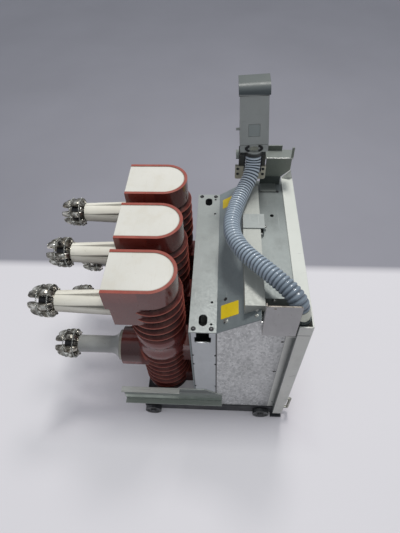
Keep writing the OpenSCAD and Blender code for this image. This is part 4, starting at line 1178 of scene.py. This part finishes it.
# The plug leans back; its foot is the middle of its left face, just above the shelf
PLUG_LEAN = radians(3.5)
PLUG_UP = Vector((0, sin(PLUG_LEAN), cos(PLUG_LEAN)))
PLUG_ALONG = Vector((0, cos(PLUG_LEAN), -sin(PLUG_LEAN)))
PLUG_Y = -190.5
PLUG_FOOT = Vector((190, PLUG_Y, 644))
# Spring clips: height over the foot, middle, outer and inner half axes, and sweep in degrees
CLIP_RISE, CLIP_MID, CLIP_OUTER, CLIP_INNER, CLIP_SWEEP = 11, 8, (14.5, 10), (7, 5), 75
CLIP_STEPS = 12
# Blank tag in the plug's face: width, height and corner, height over the foot and depth of its recess
TAG, TAG_RISE, TAG_RECESS = (27, 32.2, 0.8), 59.7, 1.1
# Rolled lip at the front of the shelf's edge, in bright metal as a painted highlight, and dark edging round the notch
# for the hose as a painted shade
LIP_X, LIP_END, LIP_Z, LIP_R = 204.4, -224, 616.1, 1.5
NOTCH_X, NOTCH_TOP, NOTCH_FLOOR, NOTCH_CORNER = 198, 631, 578, 4
NOTCH_FIT, EDGING_R = 1.2, 2.0


def clip_arc(s, half_axes, start, end):
    """Points of one side of a spring clip, from one angle to another in degrees."""
    points = []
    for k in range(CLIP_STEPS + 1):
        t = radians(start + (end - start) * k / CLIP_STEPS)
        points.append((s * (CLIP_MID + half_axes[0] * cos(t)), half_axes[1] * sin(t)))
    return points


def make_plug_details():
    """Spring clips and their bridge on the plug's foot, and a blank tag in its face."""
    place = PLUG_FOOT + PLUG_UP * CLIP_RISE
    clips = Shape()
    for s in (-1, 1):
        outline = (clip_arc(s, CLIP_OUTER, -CLIP_SWEEP, CLIP_SWEEP)
                   + clip_arc(s, CLIP_INNER, CLIP_SWEEP, -CLIP_SWEEP))
        if s < 0:
            outline.reverse()
        clips.plate(outline, 1.6, place, PLUG_ALONG, PLUG_UP, TO_LEFT, soft=0.5)
    clips.piece("plug_clips", "dark_metal", "plug_housing")
    bridge = Shape()
    lens = [(11 * cos(t), 6 * sin(t)) for t in turns(24)]
    bridge.plate(lens, 1.4, place, PLUG_ALONG, PLUG_UP, TO_LEFT, soft=0.6)
    bridge.piece("plug_clip_bridge", "plated_metal", "plug_housing")
    tag = Shape()
    place = PLUG_FOOT + PLUG_UP * TAG_RISE + Vector((TAG_RECESS, 0, 0))
    tag.plate(rounded(*TAG), 0.5, place, PLUG_ALONG, PLUG_UP, TO_LEFT, soft=0.2)
    tag.piece("plug_blank_tag", "tag_plastic", "plug_housing", smooth=False)


def make_shelf_trim():
    """Rolled lip on the plug's shelf in bright metal, a painted highlight, and dark edging round the notch under it, a
    painted shade.
    """
    lip = Shape()
    lip.tube([(LIP_X, low_of("plug_shelf", Y) / MM + 1, LIP_Z), (LIP_X, LIP_END, LIP_Z)], LIP_R, 10)
    lip.piece("shelf_lip", "bright_metal", "plated_metal")
    # Dark edging that fills the gaps round the hose: a painted shade
    edging = Shape()
    reach = HOSE_R + NOTCH_FIT
    corner_z = NOTCH_FLOOR + NOTCH_CORNER
    path = [(-reach, NOTCH_TOP), (-reach, corner_z), (NOTCH_CORNER - reach, NOTCH_FLOOR),
            (reach - NOTCH_CORNER, NOTCH_FLOOR), (reach, corner_z), (reach, NOTCH_TOP)]
    edging.tube([(NOTCH_X, PLUG_Y + y, z) for y, z in path], EDGING_R, 8)
    edging.piece("notch_edging", "black_steel", "plated_metal")


# Operating panel: how far it stands out, and its two rows above and below its middle
PANEL_PROUD, ROW = 5, 40
BUTTONS = (("green", -70), ("red", -30))
CAP = [(12.6, -1.5), (12.6, 0.2), (12, 0.9), (9, 1.5), (5, 1.1), (0, 0.9)]
# Windows as (place, row, (width, height, corner), thickness, depth behind the face)
WINDOWS = ((25, 1, (34, 22, 2), 1.4, 1.9), (75, 1, (34, 22, 2), 1.4, 1.9), (50, -1, (68, 38, 2), 1.2, 2))
# Wheels of the counter: number, first place, pitch, and height
DIGITS, DIGIT_X, DIGIT_W, DIGIT_H = 5, 34, 8, 13
# Ring of the charging socket, and screws of the panel and of the cover
SOCKET_X = -50
SOCKET_RING = [(11.2, -3), (14, -3), (14, 1.2), (13.2, 1.8), (11.8, 1.8), (11.2, 1.2)]
PANEL_SCREW_X, PANEL_SCREW_Z = 102, 77
COVER_IN, COVER_UP, COVER_DOWN = 8, 16, 20


def make_front_details():
    """Button caps, windows, counter wheels, screws and the ring of the charging socket."""
    back_y, mid_z = low_of("operating_panel", Y) / MM, mid_of("operating_panel", Z) / MM
    face_y = COVER_Y - PANEL_PROUD
    for name, x in BUTTONS:
        cap = Shape()
        cap.lathe(CAP, (x, back_y + 1.3, mid_z + ROW), FORWARD, 32)
        cap.piece(f"{name}_button_cap", f"{name}_button", "panel_plastic")
    glass, fittings, wheels = Shape(), Shape(), Shape()
    for x, row, size, thick, sunk in WINDOWS:
        glass.plate(rounded(*size), thick, (x, face_y + sunk, mid_z + row * ROW), ACROSS, UP, FORWARD)
    glass.piece("panel_windows", "window_glass", "panel_plastic")
    fittings.lathe(SOCKET_RING, (SOCKET_X, face_y, mid_z - ROW), FORWARD, 32)
    for x in (-PANEL_SCREW_X, PANEL_SCREW_X):
        for z in (-PANEL_SCREW_Z, PANEL_SCREW_Z):
            button_screw(fittings, (x, face_y, mid_z + z), FORWARD, 2.6, 1.6)
    fittings.piece("panel_fittings", "bright_metal", "panel_plastic")
    for k in range(DIGITS):
        place = (DIGIT_X + DIGIT_W * k, face_y + 0.8, mid_z - ROW)
        wheels.plate(rounded(DIGIT_W, DIGIT_H, 1), 0.5, place, ACROSS, UP, FORWARD, soft=0.2)
    wheels.piece("counter_wheels", "white_lid", "panel_plastic", smooth=False)
    screws = Shape()
    for x in (COVER_IN - SIDE_X, SIDE_X - COVER_IN):
        for z in (COVER_FOOT + COVER_UP, (COVER_FOOT + DECK_Z) / 2, DECK_Z - COVER_DOWN):
            button_screw(screws, (x, COVER_Y, z), FORWARD, 3.6, 2)
    screws.piece("cover_screws", "bright_metal", "cream_paint")


make_stickers()
make_sheet_fixings()
make_plug_details()
make_shelf_trim()
make_front_details()


# Floor and light; sizes and places in metres

FLOOR_REACH = 9.0
# The pale sheet ends to the right of the object, over a soft edge
SHEET_END, SHEET_SOFT = 0.345, 0.02
SHEET_COLOUR, FLOOR_COLOUR, GLOW_COLOUR = (224, 219, 224), (149, 148, 156), (223, 223, 227)
# Share of plain brightness in the sheet as the camera sees it: near the truck, away from it, and where
GLOW_NEAR, GLOW_AWAY, GLOW_FROM, GLOW_TO = 0.1, 0.6, -0.01, 0.1
# The world's brightness at the level of the eye and overhead
SKY_LOW, SKY_HIGH = 0.36, 0.62
SKY_COLOUR = (0.9, 0.94, 1.0, 1)
KEY_PLACE, KEY_AIM, KEY_SIZE = (0.75, -0.35, 2.6), (0, 0, 0.4), (0.45, 0.4)
KEY_POWER, KEY_COLOUR = 32, (1.0, 0.985, 0.96)


def lift_floor(p):
    """Let the camera and the reflections see a softer shadow on the sheet, away from the truck."""
    outside = [p.minus(p.size(p.place_part(axis)), cad_high[axis]) for axis in (X, Y)]
    away = p.span(p.larger(*outside), GLOW_FROM, GLOW_TO, GLOW_NEAR, GLOW_AWAY)
    sheet = p.span(p.place_part(X), SHEET_END + SHEET_SOFT, SHEET_END - SHEET_SOFT)
    rays = p.tree.nodes.new("ShaderNodeLightPath").outputs
    seen = p.larger(rays["Is Camera Ray"], rays["Is Glossy Ray"])
    glow = p.node("ShaderNodeEmission", {"Color": srgb(*GLOW_COLOUR)}, 0)
    share = p.times(p.times(seen, sheet), away)
    blend = p.node("ShaderNodeMixShader", {0: share, 1: p.shader.outputs[0], 2: glow}, 0)
    p.tree.links.new(blend, p.tree.nodes["Material Output"].inputs["Surface"])


def make_stage():
    """A pale sheet under the object on a wide grey floor."""
    r = FLOOR_REACH
    mesh = bpy.data.meshes.new("floor")
    mesh.from_pydata([(-r, -r, 0), (r, -r, 0), (r, r, 0), (-r, r, 0)], [], [(0, 1, 2, 3)])
    mesh.update()
    floor = in_scene("floor", mesh)
    p = Paint(rough=0.6)
    p.mat.name = "floor_sheet"
    past = p.span(p.place_part(X), SHEET_END - SHEET_SOFT, SHEET_END + SHEET_SOFT)
    p.ground(p.mix(past, srgb(*SHEET_COLOUR), srgb(*FLOOR_COLOUR)))
    p.stain((1.5, 3), 0.3, 0.7, 0.12, (190, 189, 199))
    p.bump(p.noise(2.2, 2), 0.15, 20)
    lift_floor(p)
    floor.data.materials.append(p.mat)
    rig.stage(floor)


def make_sky():
    """A plain world that brightens towards overhead."""
    world = bpy.data.worlds.new("studio")
    world.use_nodes = True
    tree = world.node_tree
    way = add_node(tree, "ShaderNodeTexCoord", {}, "Generated")
    height = add_node(tree, "ShaderNodeSeparateXYZ", {0: way}, Z)
    fade = add_node(tree, "ShaderNodeMapRange", map_inputs(height, 0.0, 1.0, SKY_LOW, SKY_HIGH), "Result")
    back = tree.nodes["Background"]
    tree.links.new(fade, back.inputs["Strength"])
    back.inputs["Color"].default_value = SKY_COLOUR
    bpy.context.scene.world = world


def make_key_light():
    """One soft lamp over the front right of the object."""
    data = bpy.data.lights.new("key", "AREA")
    data.shape = "RECTANGLE"
    data.size, data.size_y = KEY_SIZE
    data.energy = KEY_POWER
    data.color = KEY_COLOUR
    obj = in_scene("key", data)
    obj.location = KEY_PLACE
    obj.rotation_euler = (Vector(KEY_AIM) - Vector(KEY_PLACE)).to_track_quat("-Z", "Y").to_euler()


make_stage()
make_sky()
make_key_light()

bpy.context.scene.view_settings.view_transform = "Standard"

json.dump({"cad": [list(cad_low), list(cad_high)], "visual": [list(v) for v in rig.bounds()]},
          open("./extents.json", "w"))
